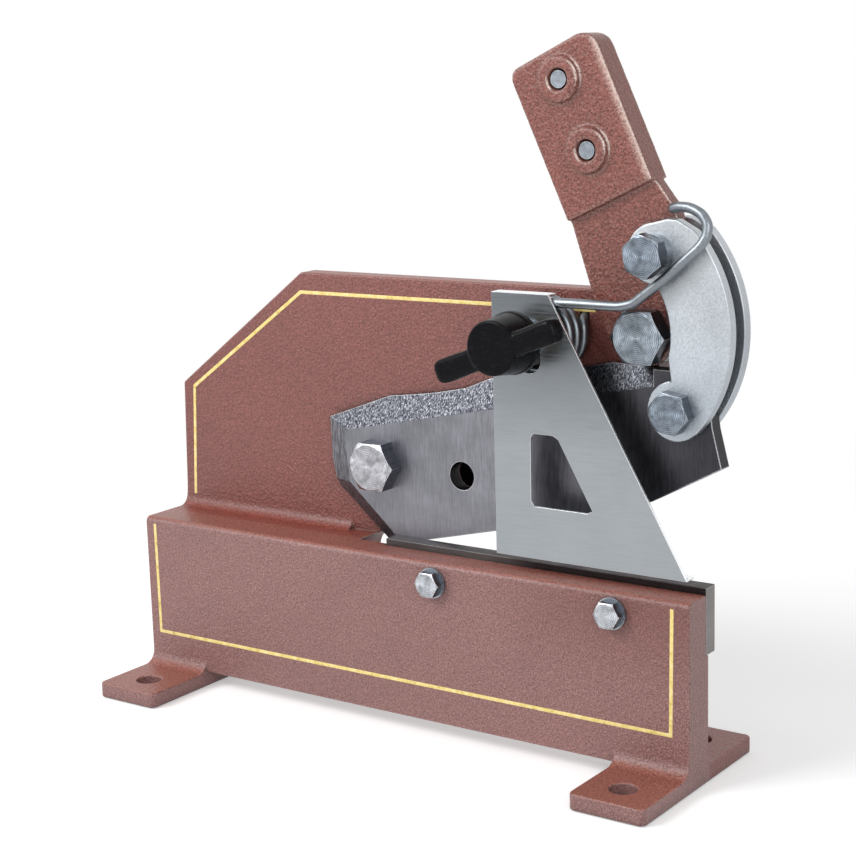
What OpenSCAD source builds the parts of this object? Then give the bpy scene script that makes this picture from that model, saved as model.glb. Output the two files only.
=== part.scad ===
// Bench lever shear: a cast stand with a fixed lower blade, a swinging upper blade,
// a lever with two curved links, a sheet guard with its wing knob, and a hook spring.
// Millimetres. X runs along the blades, Y from the front to the back, Z up.
// Places are measured from the left end, front face and underside of the base,
// and the whole is then moved so that the middle of the foot holes is the origin.

/* [Base casting] */
// length of the base wall
base_length = 330; // [270:5:420]
// height of the wall's top edge above the bench
wall_height = 90; // [80:1:110]
// thickness of the base wall
wall_thickness = 19; // [14:0.5:26]
// thickness of each foot
foot_thickness = 8; // [6:0.5:14]
// width of each foot along the wall
foot_width = 39; // [32:1:50]
// how far each foot reaches out in front of the wall
foot_front = 42.5; // [34:0.5:60]
// how far each foot reaches back from the wall's front face
foot_back = 64.5; // [54:0.5:80]
// diameter of the foot holes
foot_hole = 13; // [8:0.5:15]
// from a foot's outer side to its hole centres
foot_hole_side = 20; // [15:1:24]
// from a foot's front and back ends to its hole centres
foot_hole_end = 17.5; // [12:0.5:20]
// rounding of the foot corners
foot_corner = 3.5; // [1:0.5:8]
// radius of the cast corners between the wall and the feet
foot_cove = 7; // [3:0.5:10]
// rounding along the wall's upper front edge
wall_edge = 3; // [1:0.5:5]

/* [Upper frame] */
// height of the frame's top edge above the bench
frame_top = 223.2; // [218.5:0.1:232]
// from the wall's front face back to the face of the upper plate
plate_setback = 33.4; // [33:0.1:38]
// thickness of the upper plate
plate_thickness = 12; // [9:0.5:14]
// depth of the ledge that joins the wall and the plate
ledge_depth = 15; // [12:0.5:22]
// radius of the cast corner between the ledge and the plate
ledge_cove = 6; // [3:0.5:9]
// rounding of the frame's arm around the lever pivot
arm_radius = 13; // [11.5:0.5:13]
// radius of the notch at the throat's left end
throat_radius = 12; // [10:0.5:13]

/* [Blades] */
// length of the fixed lower blade
lower_blade_length = 179.5; // [150:0.5:185]
// height of the lower blade
lower_blade_height = 31.7; // [28:0.1:36]
// thickness of the lower blade
lower_blade_thickness = 8.5; // [7:0.1:10]
// height of the lower blade's cutting edge above the wall
lower_blade_rise = 3.2; // [1:0.1:5]
// thickness of the swinging upper blade
upper_blade_thickness = 8; // [6:0.1:8.5]
// sideways gap between the two blades
shear_gap = 0.1; // [0.05:0.01:0.3]
// gap behind the upper blade
blade_back_gap = 0.3; // [0.2:0.05:0.6]
// diameter of the hole for cutting round bar
bar_hole = 14; // [8:0.1:16]
// from the base's right end to the blade pivot
blade_pivot_inset = 188; // [182:0.5:194]
// height of the blade pivot
blade_pivot_z = 129; // [126:0.5:134]
// diameter of the blade pivot bolt
blade_pivot_size = 16; // [12:0.5:18]

/* [Lever] */
// from the base's right end to the lever pivot
lever_pivot_inset = 34.9; // [33:0.1:36]
// height of the lever pivot
lever_pivot_z = 204.6; // [203:0.1:206]
// diameter of the lever pivot bolt
lever_pivot_size = 16; // [12:0.5:16]
// thickness of the lever's clamp end
lever_clamp_thickness = 15; // [12:0.5:20]
// width of the lever's clamp end
lever_width = 48.2; // [42:0.1:56]
// length of the lever's clamp end
lever_clamp_length = 74.3; // [66:0.1:90]
// lean of the resting lever from upright
lever_lean = 24.5; // [20:0.5:26]
// diameter of the two clamp bosses
boss_size = 21; // [18:0.5:28]
// height of the clamp bosses above the lever's face
boss_height = 3; // [1:0.5:5]
// distance between the two clamp bosses
boss_spacing = 34.8; // [28:0.1:40]
// diameter of the handle clamp bolts
clamp_bolt_size = 8; // [6:0.5:10]

/* [Links] */
// from the lever pivot to the upper link pivot, along the base
link_top_x = 7.8; // [7:0.1:9]
// from the lever pivot up to the upper link pivot
link_top_z = 37.9; // [37:0.1:40]
// from the lever pivot to the lower link pivot, along the base
link_bottom_x = 17.6; // [17:0.1:19]
// from the lever pivot down to the lower link pivot
link_bottom_z = 32.4; // [31:0.1:34]
// thickness of each link
link_thickness = 6; // [4:0.1:6.5]
// gap between the links and the blade
link_gap = 0.2; // [0.1:0.05:0.4]
// outer radius of the links
link_outer_radius = 68.6; // [66:0.1:71]
// inner radius of the links
link_inner_radius = 40; // [39:0.1:41]
// radius of the link ends
link_end_radius = 14; // [12:0.5:14]
// diameter of the link bolts
link_bolt_size = 12; // [10:0.5:12]
// thickness of the collar under the upper link bolt's head
link_collar = 5.4; // [3:0.1:7]

/* [Guard] */
// from the wall's front face back to the guard
guard_setback = 8; // [7:0.1:8.5]
// thickness of the guard's sheet
guard_sheet = 1.5; // [1:0.1:2]
// height of the guard's top edge
guard_top = 223.2; // [222.8:0.1:226]
// gap between the guard's foot and the lower blade
guard_clearance = 4.1; // [2:0.1:8]
// from the base's right end to the guard's left edge
guard_inset = 107.2; // [104:0.1:112]
// width of the guard's top edge
guard_top_width = 31; // [28:0.5:36]
// width of the guard's foot
guard_foot_width = 101.8; // [90:0.1:106]
// depth of the guard's foot
guard_foot_depth = 7; // [4:0.5:7.5]
// how far the guard can be raised
guard_travel = 10; // [5:0.5:14]
// from the base's right end to the guard stud
stud_inset = 87; // [85:0.1:89]
// height of the guard stud
stud_z = 202.3; // [201:0.1:202.6]
// diameter of the guard stud
stud_size = 12; // [8:0.5:12]

/* [Wing knob] */
// span of the knob over both wings
knob_span = 69.5; // [55:0.5:80]
// diameter of the knob's hub
knob_hub = 25.2; // [22:0.1:28]
// from the wall's front face forward to the knob's face
knob_reach = 24.5; // [22:0.5:30]
// length of the knob's hub
knob_length = 20.5; // [15:0.5:24]
// width of each wing across its end
knob_wing_width = 11.5; // [9:0.5:14]
// depth of the wings
knob_wing_depth = 10; // [7:0.5:11]
// turn of the wings from level
knob_turn = 21; // [0:1:40]
// how far the wings sit below the middle of the hub
knob_wing_drop = 2; // [0:0.1:3]

/* [Hook spring] */
// diameter of the spring's wire
wire_size = 4.6; // [3.5:0.1:4.8]
// mean radius of the spring's coil
coil_radius = 16.6; // [16.4:0.1:16.8]
// distance from one turn of the coil to the next
coil_pitch = 6.55; // [6.4:0.05:6.8]

/* [Hidden] */
// counts
circle_sides = 96;
wire_sides = 6;
coil_rings_per_turn = 8;
coil_turns = 2.8;
bend_rings = 4;
// turns of the bolt heads
blade_bolt_turn = 0;
link_top_turn = 20.7;
link_bottom_turn = 10;
// clearances
running_gap = 0.05;
seat_gap = 0.05;
slot_play = 0.6;
loose_gap = 0.3;
cut_over = 1;

// derived heights and layers, front to back
frame_height = frame_top - wall_height;
blade_back = plate_setback - blade_back_gap;
blade_front = blade_back - upper_blade_thickness;
lower_blade_back = blade_front - shear_gap;
lower_blade_front = lower_blade_back - lower_blade_thickness;
lower_blade_top = wall_height + lower_blade_rise;
lower_blade_bottom = lower_blade_top - lower_blade_height;
lower_blade_left = base_length - lower_blade_length;
plate_back = plate_setback + plate_thickness;
link_front_back = blade_front - link_gap;
link_front_face = link_front_back - link_thickness;
link_rear_face = blade_back + link_gap;
link_rear_back = link_rear_face + link_thickness;
lever_middle = (blade_front + blade_back) / 2;
lever_front = lever_middle - lever_clamp_thickness / 2;
lever_back = lever_middle + lever_clamp_thickness / 2;
foot_middle = (foot_back - foot_front) / 2;

// places along the base
blade_pivot_x = base_length - blade_pivot_inset;
lever_pivot_x = base_length - lever_pivot_inset;
guard_left = base_length - guard_inset;
stud_x = base_length - stud_inset;

// pivots
blade_pivot = [blade_pivot_x, blade_pivot_z];
lever_pivot = [lever_pivot_x, lever_pivot_z];
link_top = lever_pivot + [link_top_x, link_top_z];
link_bottom = lever_pivot + [link_bottom_x, -link_bottom_z];
link_reach = link_top_z + link_bottom_z;
blade_reach = link_bottom[0] - blade_pivot[0];
pivot_span = lever_pivot_x - blade_pivot_x;

// fastener sizes as shares of their bolt's diameter
head_flats_share = 1.5;
head_height_share = 0.62;
nut_height_share = 0.8;
washer_radius_share = 0.95;
washer_height_share = 0.16;
bolt_tip_share = 1.05;
head_edge_share = 0.95;
collar_radius_share = 0.79;
bush_wall_share = 0.12;

// left part of the upper plate: along the base length, and up the frame from the wall's top
plate_shares = [
    [0.0015, 0.068],
    [0.0073, 0.518],
    [0.2676, 1],
];
// right part of the upper plate: from the blade pivot by the span between the two
// pivots, and up the frame from the wall's top
plate_top_shares = [0.830, 1];
arm_top_shares = [0.30, 0.95];
plate_lower_shares = [
    [1.0124, 0.850],
    [1.0124, 0.345],
    [0.9970, 0.285],
    [0.9650, 0.252],
    [0.9130, 0.243],
];
jaw_rise_share = 0.0526;
throat_drop_share = 0.917;
throat_side_share = 1.083;
cove_share = 0.82;

// upper blade outline from its pivot: along by the reach to the lower link pivot, up by
// the lower blade's height
blade_shares = [
    [-0.2003, 0.662],
    [-0.1992, -0.063],
    [-0.1775, -0.476],
    [0.0228, -1.322],
    [0.1781, -1.120],
    [0.4036, -0.830],
    [0.5624, -0.625],
    [0.7030, -0.432],
    [0.8143, -0.243],
    [0.9127, -0.044],
    [1.1189, 0.549],
    [1.0926, 1.114],
    [1.0778, 1.700],
    [1.0147, 1.905],
    [0.7727, 1.924],
    [0.6842, 1.823],
    [0.3708, 1.511],
    [0.2905, 1.331],
    [0.1916, 1.221],
    [0.1166, 1.158],
    [0.0141, 1.085],
];
// the top edge of the blade's front face, where the ground slope begins
blade_top_shares = [[-0.1301, 0.489], [0.9162, 1.650]];
// the left edge of the blade's front face
blade_left_shares = [[-0.1301, 0.489], [-0.1083, -0.750]];
// the lower left edge of the blade's front face
blade_corner_shares = [[0.0404, -1.098], [-0.1139, -0.367]];
blade_slope_reach_shares = [0.5, 0.75];
bar_hole_shares = [0.2935, -0.025];
blade_bolt_shares = [0.2228, 0.7799];
blade_bolt_height_share = 0.584;
blade_bolt_size_share = 0.252;
slot_start_shares = [-0.0142, -0.0043];
slot_end_shares = [0.0924, 0.0825];

// thin end of the lever from its pivot, turned with the lean: across by its width, up
// by the distance to the upper link pivot; left side upward, then right side downward
lever_left_shares = [
    [-0.286, -0.080],
    [-0.384, 0.207],
    [-0.395, 0.504],
    [-0.375, 0.762],
    [-0.303, 1.560],
    [-0.296, 1.700],
];
lever_right_shares = [
    [0.668, 1.700],
    [0.703, 1.600],
    [0.780, 1.200],
    [0.753, 0.930],
    [0.725, 0.700],
    [0.290, -0.050],
];
lever_step_share = 1.60;
lever_side_share = 0.2967;
lever_corner_shares = [0.11, 0.19];
lever_end_share = 0.2905;
boss_first_share = 0.3365;
boss_rise_share = 0.2;
boss_hole_share = 0.48;
boss_recess_share = 0.47;
clamp_head_share = 0.6;

// link outline, outside corners from the upper link pivot: both by the links' reach
link_corner_shares = [
    [0, 0],
    [-0.0479, 0.1920],
    [0.0870, 0.2245],
    [0.1600, 0.2210],
    [0.2920, 0.1500],
    [0.6500, -0.2500],
    [0.6500, -0.8500],
    [0.3950, -1.0240],
    [0.2920, -1.1370],
    [0.2190, -1.1760],
    [0.1394, -1.0000],
];
link_outer_shares = [-0.4424, -0.4979];
link_inner_shares = [-0.4623, -0.5220];

// guard window from its left edge and foot: by the foot's width and the guard's height
window_shares = [
    [0.200, 0.464],
    [0.217, 0.478],
    [0.318, 0.478],
    [0.347, 0.465],
    [0.522, 0.213],
    [0.494, 0.202],
    [0.215, 0.203],
    [0.197, 0.224],
];

// shapes

// turns a flat outline into a slab that starts at a given depth
module slab(front, thickness) {
    translate([0, front + thickness, 0])
        rotate([90, 0, 0])
            linear_extrude(height = thickness)
                children();
}

// a round bar along the depth
module bar(place, front, back, radius) {
    translate([place[0], back, place[1]])
        rotate([90, 0, 0])
            cylinder(h = back - front, r = radius, $fn = circle_sides);
}

// a plain ring along the depth
module ring(place, front, back, outer, inner) {
    difference() {
        bar(place, front, back, outer);
        bar(place, front - cut_over, back + cut_over, inner);
    }
}

// a six-sided head whose front corners are turned off
module hex_head(place, front, height, flats, turn) {
    translate([place[0], front, place[1]])
        rotate([-90, 0, 0])
            intersection() {
                rotate([0, 0, turn])
                    cylinder(h = height, r = flats / sqrt(3), $fn = 6);
                cylinder(
                    h = height,
                    r1 = flats * head_edge_share / 2,
                    r2 = flats * head_edge_share / 2 + height * sqrt(3),
                    $fn = circle_sides
                );
            }
}

// a six-sided head whose back corners are turned off
module mirrored_head(place, front, height, flats, turn) {
    translate([0, 2 * front + height, 0])
        mirror([0, 1, 0])
            hex_head(place, front, height, flats, turn);
}

// a six-sided nut whose back corners are turned off
module hex_nut(place, front, height, flats, bore, turn) {
    difference() {
        mirrored_head(place, front, height, flats, turn);
        bar(place, front - cut_over, front + height + cut_over, bore);
    }
}

// a bolt whose head is at the front
module bolt(place, head_back, tip, size, turn) {
    height = size * head_height_share;
    union() {
        hex_head(place, head_back - height, height, size * head_flats_share, turn);
        bar(place, head_back - height / 2, tip, size / 2);
    }
}

// a straight cove along the base, its corner at the origin, hollow side up and back
module cove(length, radius) {
    difference() {
        cube([length, radius, radius]);
        translate([-cut_over, radius, radius])
            rotate([0, 90, 0])
                cylinder(h = length + 2 * cut_over, r = radius, $fn = circle_sides);
    }
}

// the waste of a rounded edge along the base, the edge's corner at the origin
module edge_waste(length, radius) {
    translate([-cut_over, 0, 0])
        difference() {
            translate([0, -cut_over, -radius])
                cube([length + 2 * cut_over, radius + cut_over, radius + cut_over]);
            translate([-cut_over, radius, -radius])
                rotate([0, 90, 0])
                    cylinder(h = length + 4 * cut_over, r = radius, $fn = circle_sides);
        }
}

// wire route from the stud: along and up by the links' reach, back by the plate's setback
arm_shares = [
    [0.190, 0.000, 0.2385],
    [0.345, 0.001, 0.2400],
    [0.555, 0.003, 0.2390],
    [0.655, 0.005, 0.2395],
    [0.745, 0.010, 0.2600],
    [0.842, 0.017, 0.3330],
    [0.950, 0.023, 0.4130],
    [1.100, 0.032, 0.5430],
    [1.200, 0.072, 0.6330],
    [1.240, 0.117, 0.6970],
    [1.243, 0.147, 0.7720],
    [1.192, 0.177, 0.8350],
    [1.105, 0.210, 0.8700],
    [1.020, 0.240, 0.8740],
    [0.960, 0.265, 0.8600],
];

// shares of the knob, its insert and the stud
knob_collar_share = 1.16;
knob_collar_depth_share = 0.2;
guard_washer_share = 0.75;
knob_cap_share = 0.25;
insert_radius_share = 0.62;
stud_start_share = 0.3;
sleeve_share = 0.76;

// middle of the notch at the throat's left end
throat_at = [
    lower_blade_left - throat_side_share * throat_radius,
    wall_height - throat_drop_share * throat_radius
];

function on_frame(share) = [share[0] * base_length, wall_height + share[1] * frame_height];
function on_span(share) = [
    blade_pivot_x + share[0] * pivot_span,
    wall_height + share[1] * frame_height
];
function on_blade(share) = blade_pivot
    + [share[0] * blade_reach, share[1] * lower_blade_height];
function on_link(share) = link_top + share * link_reach;
function on_guard(share) = [
    guard_left + share[0] * guard_foot_width,
    guard_foot + share[1] * (guard_top - guard_foot)
];
guard_foot = lower_blade_top + guard_clearance;

// moves the whole so that the middle of the foot holes is the origin
module placed() {
    translate([-base_length / 2, -foot_middle, 0])
        children();
}

// base and frame

module foot(left) {
    depth = foot_front + foot_back;
    difference() {
        translate([left, -foot_front, 0])
            linear_extrude(height = foot_thickness)
                foot_outline(depth);
        for (end = [foot_hole_end - foot_front, foot_back - foot_hole_end])
            translate([foot_hole_at(left), end, -cut_over])
                cylinder(
                    h = foot_thickness + 2 * cut_over,
                    r = foot_hole / 2,
                    $fn = circle_sides
                );
    }
}

function foot_hole_at(left) = left == 0 ? foot_hole_side : base_length - foot_hole_side;

module foot_outline(depth) {
    union() {
        translate([foot_corner, 0])
            square([foot_width - 2 * foot_corner, depth]);
        translate([0, foot_corner])
            square([foot_width, depth - 2 * foot_corner]);
        for (across = [foot_corner, foot_width - foot_corner])
            for (along = [foot_corner, depth - foot_corner])
                translate([across, along])
                    circle(r = foot_corner, $fn = circle_sides);
    }
}

module plate_outline() {
    difference() {
        union() {
            polygon([
                for (share = plate_shares) on_frame(share),
                on_span(plate_top_shares),
                lever_pivot + arm_top_shares * arm_radius,
                lever_pivot,
                for (share = plate_lower_shares) on_span(share),
                [lower_blade_left, wall_height + jaw_rise_share * frame_height],
                [throat_at[0], wall_height - ledge_depth],
                [0, wall_height - ledge_depth]
            ]);
            translate(lever_pivot)
                circle(r = arm_radius, $fn = circle_sides);
        }
        translate(throat_at)
            circle(r = throat_radius, $fn = circle_sides);
    }
}

module frame_casting() {
    color([0.55, 0.33, 0.30])
        placed()
            difference() {
                union() {
                    foot(0);
                    foot(base_length - foot_width);
                    // wall
                    translate([0, 0, foot_thickness])
                        cube([base_length, wall_thickness, wall_height - foot_thickness]);
                    // ledge
                    translate([0, wall_thickness, wall_height - ledge_depth])
                        cube([
                            throat_at[0],
                            plate_setback - wall_thickness,
                            ledge_depth
                        ]);
                    translate([0, plate_setback, wall_height])
                        mirror([0, 1, 0])
                            cove(blade_pivot_x * cove_share, ledge_cove);
                    slab(plate_setback, plate_thickness)
                        plate_outline();
                    for (left = [0, base_length - foot_width]) {
                        translate([left, 0, foot_thickness])
                            mirror([0, 1, 0])
                                cove(foot_width, foot_cove);
                        translate([left, wall_thickness, foot_thickness])
                            cove(foot_width, foot_cove);
                    }
                }
                // rounded upper front edge of the wall
                translate([0, 0, wall_height])
                    edge_waste(base_length, wall_edge);
                // throat notch behind the wall
                slab(wall_thickness, plate_back - wall_thickness + cut_over)
                    translate(throat_at)
                        circle(r = throat_radius, $fn = circle_sides);
                // seat of the lower blade
                translate([
                    lower_blade_left - seat_gap,
                    lower_blade_front,
                    lower_blade_bottom - seat_gap
                ])
                    cube([
                        lower_blade_length + seat_gap + cut_over,
                        wall_thickness + cut_over,
                        lower_blade_height + cut_over
                    ]);
                for (share = blade_bolt_shares)
                    bar(blade_bolt_at(share), -cut_over, lower_blade_front + cut_over,
                        blade_bolt_size / 2 + running_gap);
                bar(blade_pivot, plate_setback - cut_over, plate_back + cut_over,
                    blade_pivot_size / 2 + running_gap);
                bar(lever_pivot, plate_setback - cut_over, plate_back + cut_over,
                    lever_pivot_size / 2 + running_gap);
                bar([stud_x, stud_z], plate_setback - cut_over, plate_back + cut_over,
                    stud_size / 2 + running_gap);
                bar(on_blade(bar_hole_shares), plate_setback - cut_over,
                    plate_back + cut_over, bar_hole / 2);
                bar(tail_at, plate_setback - cut_over, plate_setback + tail_hole_depth,
                    wire_size / 2 + loose_gap);
            }
}

// blades

blade_bolt_size = lower_blade_height * blade_bolt_size_share;
function blade_bolt_at(share) = [
    lower_blade_left + share * lower_blade_length,
    lower_blade_bottom + blade_bolt_height_share * lower_blade_height
];

module lower_blade() {
    color([0.42, 0.43, 0.45])
        placed()
            difference() {
                translate([lower_blade_left, lower_blade_front, lower_blade_bottom])
                    cube([lower_blade_length, lower_blade_thickness, lower_blade_height]);
                for (share = blade_bolt_shares)
                    bar(blade_bolt_at(share), lower_blade_front - cut_over,
                        lower_blade_back + cut_over, blade_bolt_size / 2 + running_gap);
            }
}

module lower_blade_bolts() {
    color([0.70, 0.74, 0.78])
        placed()
            for (share = blade_bolt_shares)
                bolt(
                    blade_bolt_at(share),
                    -blade_bolt_size * washer_height_share,
                    lower_blade_back - loose_gap,
                    blade_bolt_size,
                    0
                );
}

module lower_blade_washers() {
    color([0.70, 0.74, 0.78])
        placed()
            for (share = blade_bolt_shares)
                ring(
                    blade_bolt_at(share),
                    -blade_bolt_size * washer_height_share,
                    0,
                    blade_bolt_size * washer_radius_share,
                    blade_bolt_size / 2 + running_gap
                );
}

// the waste of a ground slope between an edge of the front face and the back face
module slope_waste(from, to, reach) {
    run = to - from;
    length = norm(run);
    translate([from[0], blade_front, from[1]])
        rotate([0, -atan2(run[1], run[0]), 0])
            translate([-length, 0, 0])
                rotate([-atan2(upper_blade_thickness, reach), 0, 0])
                    translate([0, -lever_width, 0])
                        cube([3 * length, lever_width, lever_width]);
}

module upper_blade() {
    color([0.42, 0.43, 0.45])
        placed()
            difference() {
                slab(blade_front, upper_blade_thickness)
                    difference() {
                        polygon([for (share = blade_shares) on_blade(share)]);
                        translate(blade_pivot)
                            circle(r = blade_bush_radius, $fn = circle_sides);
                        translate(on_blade(bar_hole_shares))
                            circle(r = bar_hole / 2, $fn = circle_sides);
                        slot_outline();
                    }
                intersection() {
                    slope_waste(
                        on_blade(blade_top_shares[0]),
                        on_blade(blade_top_shares[1]),
                        lower_blade_height * blade_slope_reach_shares[0]
                    );
                    cube([link_bottom[0] - link_end_radius, plate_back, frame_top]);
                }
                slope_waste(
                    on_blade(blade_left_shares[1]),
                    on_blade(blade_left_shares[0]),
                    lower_blade_height * blade_slope_reach_shares[1]
                );
                slope_waste(
                    on_blade(blade_corner_shares[0]),
                    on_blade(blade_corner_shares[1]),
                    lower_blade_height * blade_slope_reach_shares[0]
                );
            }
}

// the long hole in which the lower link bolt works
module slot_outline() {
    start = link_bottom + slot_start_shares * link_reach;
    end = link_bottom + slot_end_shares * link_reach;
    run = end - start;
    width = link_bolt_size + 2 * slot_play;
    for (place = [start, end])
        translate(place)
            circle(r = width / 2, $fn = circle_sides);
    translate(start)
        rotate([0, 0, atan2(run[1], run[0])])
            translate([0, -width / 2])
                square([norm(run), width]);
}

blade_bush_radius = blade_pivot_size * (0.5 + bush_wall_share);
lever_bush_radius = lever_pivot_size * (0.5 + bush_wall_share);
link_bush_radius = link_bolt_size * (0.5 + bush_wall_share);

module blade_pivot_bush() {
    color([0.72, 0.60, 0.32])
        placed()
            ring(blade_pivot, blade_front, blade_back, blade_bush_radius,
                blade_pivot_size / 2 + running_gap);
}

module pivot_bolt(place, size, turn) {
    bolt(place, blade_front - shear_gap, plate_back + size * bolt_tip_share, size, turn);
}

module pivot_washer(place, size) {
    ring(place, plate_back, plate_back + size * washer_height_share,
        size * washer_radius_share, size / 2 + running_gap);
}

module pivot_nut(place, size) {
    hex_nut(place, plate_back + size * washer_height_share, size * nut_height_share,
        size * head_flats_share, size / 2, 0);
}

module blade_pivot_bolt() {
    color([0.70, 0.74, 0.78])
        placed()
            pivot_bolt(blade_pivot, blade_pivot_size, blade_bolt_turn);
}

module blade_pivot_washer() {
    color([0.70, 0.74, 0.78])
        placed()
            pivot_washer(blade_pivot, blade_pivot_size);
}

module blade_pivot_nut() {
    color([0.70, 0.74, 0.78])
        placed()
            pivot_nut(blade_pivot, blade_pivot_size);
}

// lever

function leaned(across, up) = lever_pivot + [
    across * cos(lever_lean) - up * sin(lever_lean),
    across * sin(lever_lean) + up * cos(lever_lean)
];
pivot_reach = norm([link_top_x, link_top_z]);
lever_step = lever_step_share * pivot_reach;
lever_left = -lever_side_share * lever_width;
function on_lever(share) = leaned(share[0] * lever_width, share[1] * pivot_reach);
function boss_at(index) = leaned(
    lever_left + lever_width / 2,
    lever_step + boss_first_share * lever_clamp_length + index * boss_spacing
);

module lever_thin_outline() {
    difference() {
        union() {
            polygon([
                for (share = lever_left_shares) on_lever(share),
                for (share = lever_right_shares) on_lever(share)
            ]);
            translate(lever_pivot)
                circle(r = lever_end_share * lever_width, $fn = circle_sides);
            translate(link_top)
                circle(r = link_end_radius - loose_gap, $fn = circle_sides);
        }
        translate(lever_pivot)
            circle(r = lever_bush_radius, $fn = circle_sides);
        translate(link_top)
            circle(r = link_bush_radius, $fn = circle_sides);
    }
}

// the thick end of the lever, upright at the pivot, with two rounded corners
module lever_clamp_outline() {
    small = lever_corner_shares[0] * lever_width;
    large = lever_corner_shares[1] * lever_width;
    top = lever_step + lever_clamp_length;
    right = lever_left + lever_width;
    translate([lever_left, lever_step])
        square([lever_width, lever_clamp_length - large]);
    translate([lever_left + small, lever_step])
        square([lever_width - small - large, lever_clamp_length]);
    translate([lever_left, lever_step])
        square([small, lever_clamp_length - small]);
    translate([lever_left + small, top - small])
        circle(r = small, $fn = circle_sides);
    translate([right - large, top - large])
        circle(r = large, $fn = circle_sides);
}

module lever() {
    color([0.55, 0.33, 0.30])
        placed()
            difference() {
                union() {
                    slab(blade_front, upper_blade_thickness)
                        lever_thin_outline();
                    slab(lever_front, lever_clamp_thickness)
                        translate(lever_pivot)
                            rotate([0, 0, lever_lean])
                                lever_clamp_outline();
                    for (index = [0, 1])
                        bar(boss_at(index), lever_front - boss_height, lever_middle,
                            boss_size / 2);
                }
                for (index = [0, 1]) {
                    bar(boss_at(index), lever_front - boss_height - cut_over,
                        lever_back + cut_over, clamp_bolt_size / 2 + running_gap);
                    bar(boss_at(index), lever_front - boss_height - cut_over,
                        lever_front, boss_size * boss_hole_share / 2);
                }
            }
}

module lever_pivot_bush() {
    color([0.72, 0.60, 0.32])
        placed()
            ring(lever_pivot, blade_front, blade_back, lever_bush_radius,
                lever_pivot_size / 2 + running_gap);
}

module lever_link_bush() {
    color([0.72, 0.60, 0.32])
        placed()
            ring(link_top, blade_front, blade_back, link_bush_radius,
                link_bolt_size / 2 + running_gap);
}

module lever_pivot_bolt() {
    color([0.70, 0.74, 0.78])
        placed()
            pivot_bolt(lever_pivot, lever_pivot_size, 0);
}

module lever_pivot_washer() {
    color([0.70, 0.74, 0.78])
        placed()
            pivot_washer(lever_pivot, lever_pivot_size);
}

module lever_pivot_nut() {
    color([0.70, 0.74, 0.78])
        placed()
            pivot_nut(lever_pivot, lever_pivot_size);
}

module handle_clamp_bolts() {
    color([0.70, 0.74, 0.78])
        placed()
            for (index = [0, 1])
                union() {
                    bar(boss_at(index), lever_front - boss_height * boss_recess_share,
                        lever_back + clamp_bolt_size * clamp_head_share / 2,
                        clamp_bolt_size / 2);
                    mirrored_head(boss_at(index), lever_back,
                        clamp_bolt_size * clamp_head_share,
                        clamp_bolt_size * head_flats_share, lever_lean);
                }
}

// links

module link_outline() {
    difference() {
        intersection() {
            polygon([for (share = link_corner_shares) on_link(share)]);
            translate(on_link(link_outer_shares))
                circle(r = link_outer_radius, $fn = circle_sides);
        }
        translate(on_link(link_inner_shares))
            circle(r = link_inner_radius, $fn = circle_sides);
    }
}

module link_plate(front) {
    back = front + link_thickness;
    difference() {
        union() {
            slab(front, link_thickness)
                link_outline();
            bar(link_top, front, back, link_end_radius);
            bar(link_bottom, front, back, link_end_radius);
        }
        for (place = [link_top, link_bottom])
            bar(place, front - cut_over, back + cut_over,
                link_bolt_size / 2 + running_gap);
    }
}

module front_link() {
    color([0.66, 0.70, 0.69])
        placed()
            link_plate(link_front_face);
}

module rear_link() {
    color([0.66, 0.70, 0.69])
        placed()
            link_plate(link_rear_face);
}

link_bolt_tip = link_rear_back + link_bolt_size;

module link_top_bolt() {
    color([0.70, 0.74, 0.78])
        placed()
            bolt(link_top, link_front_face - link_collar, link_bolt_tip, link_bolt_size,
                link_top_turn);
}

module link_top_collar() {
    color([0.70, 0.74, 0.78])
        placed()
            ring(link_top, link_front_face - link_collar, link_front_face,
                link_bolt_size * collar_radius_share, link_bolt_size / 2 + running_gap);
}

module link_bottom_bolt() {
    color([0.70, 0.74, 0.78])
        placed()
            bolt(link_bottom, link_front_face, link_bolt_tip, link_bolt_size,
                link_bottom_turn);
}

module link_nut(place) {
    hex_nut(place, link_rear_back, link_bolt_size * nut_height_share,
        link_bolt_size * head_flats_share, link_bolt_size / 2, 0);
}

module link_top_nut() {
    color([0.70, 0.74, 0.78])
        placed()
            link_nut(link_top);
}

module link_bottom_nut() {
    color([0.70, 0.74, 0.78])
        placed()
            link_nut(link_bottom);
}

// guard and its stud

guard_back = guard_setback + guard_sheet;
stud_at = [stud_x, stud_z];

module guard_plate() {
    height = guard_top - guard_foot;
    slot_width = stud_size + 2 * loose_gap;
    color([0.66, 0.69, 0.70])
        placed() {
            slab(guard_setback, guard_sheet)
                difference() {
                    polygon([
                        [guard_left, guard_foot],
                        [guard_left, guard_top],
                        [guard_left + guard_top_width, guard_top],
                        [guard_left + guard_foot_width, guard_foot],
                    ]);
                    polygon([for (share = window_shares) on_guard(share)]);
                    for (drop = [0, guard_travel])
                        translate([stud_x, stud_z - drop])
                            circle(r = slot_width / 2, $fn = circle_sides);
                    translate([stud_x - slot_width / 2, stud_z - guard_travel])
                        square([slot_width, guard_travel]);
                }
            translate([guard_left, guard_back, guard_foot])
                cube([guard_foot_width, guard_foot_depth - guard_sheet, guard_sheet]);
            translate([guard_left, guard_back, guard_top - guard_sheet])
                cube([guard_top_width, guard_foot_depth - guard_sheet, guard_sheet]);
        }
}

module hold_down_stud() {
    color([0.70, 0.74, 0.78])
        placed()
            bar(stud_at, -knob_reach + knob_length * stud_start_share,
                plate_back + stud_size * bolt_tip_share, stud_size / 2);
}

module stud_washer() {
    color([0.70, 0.74, 0.78])
        placed()
            pivot_washer(stud_at, stud_size);
}

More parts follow.
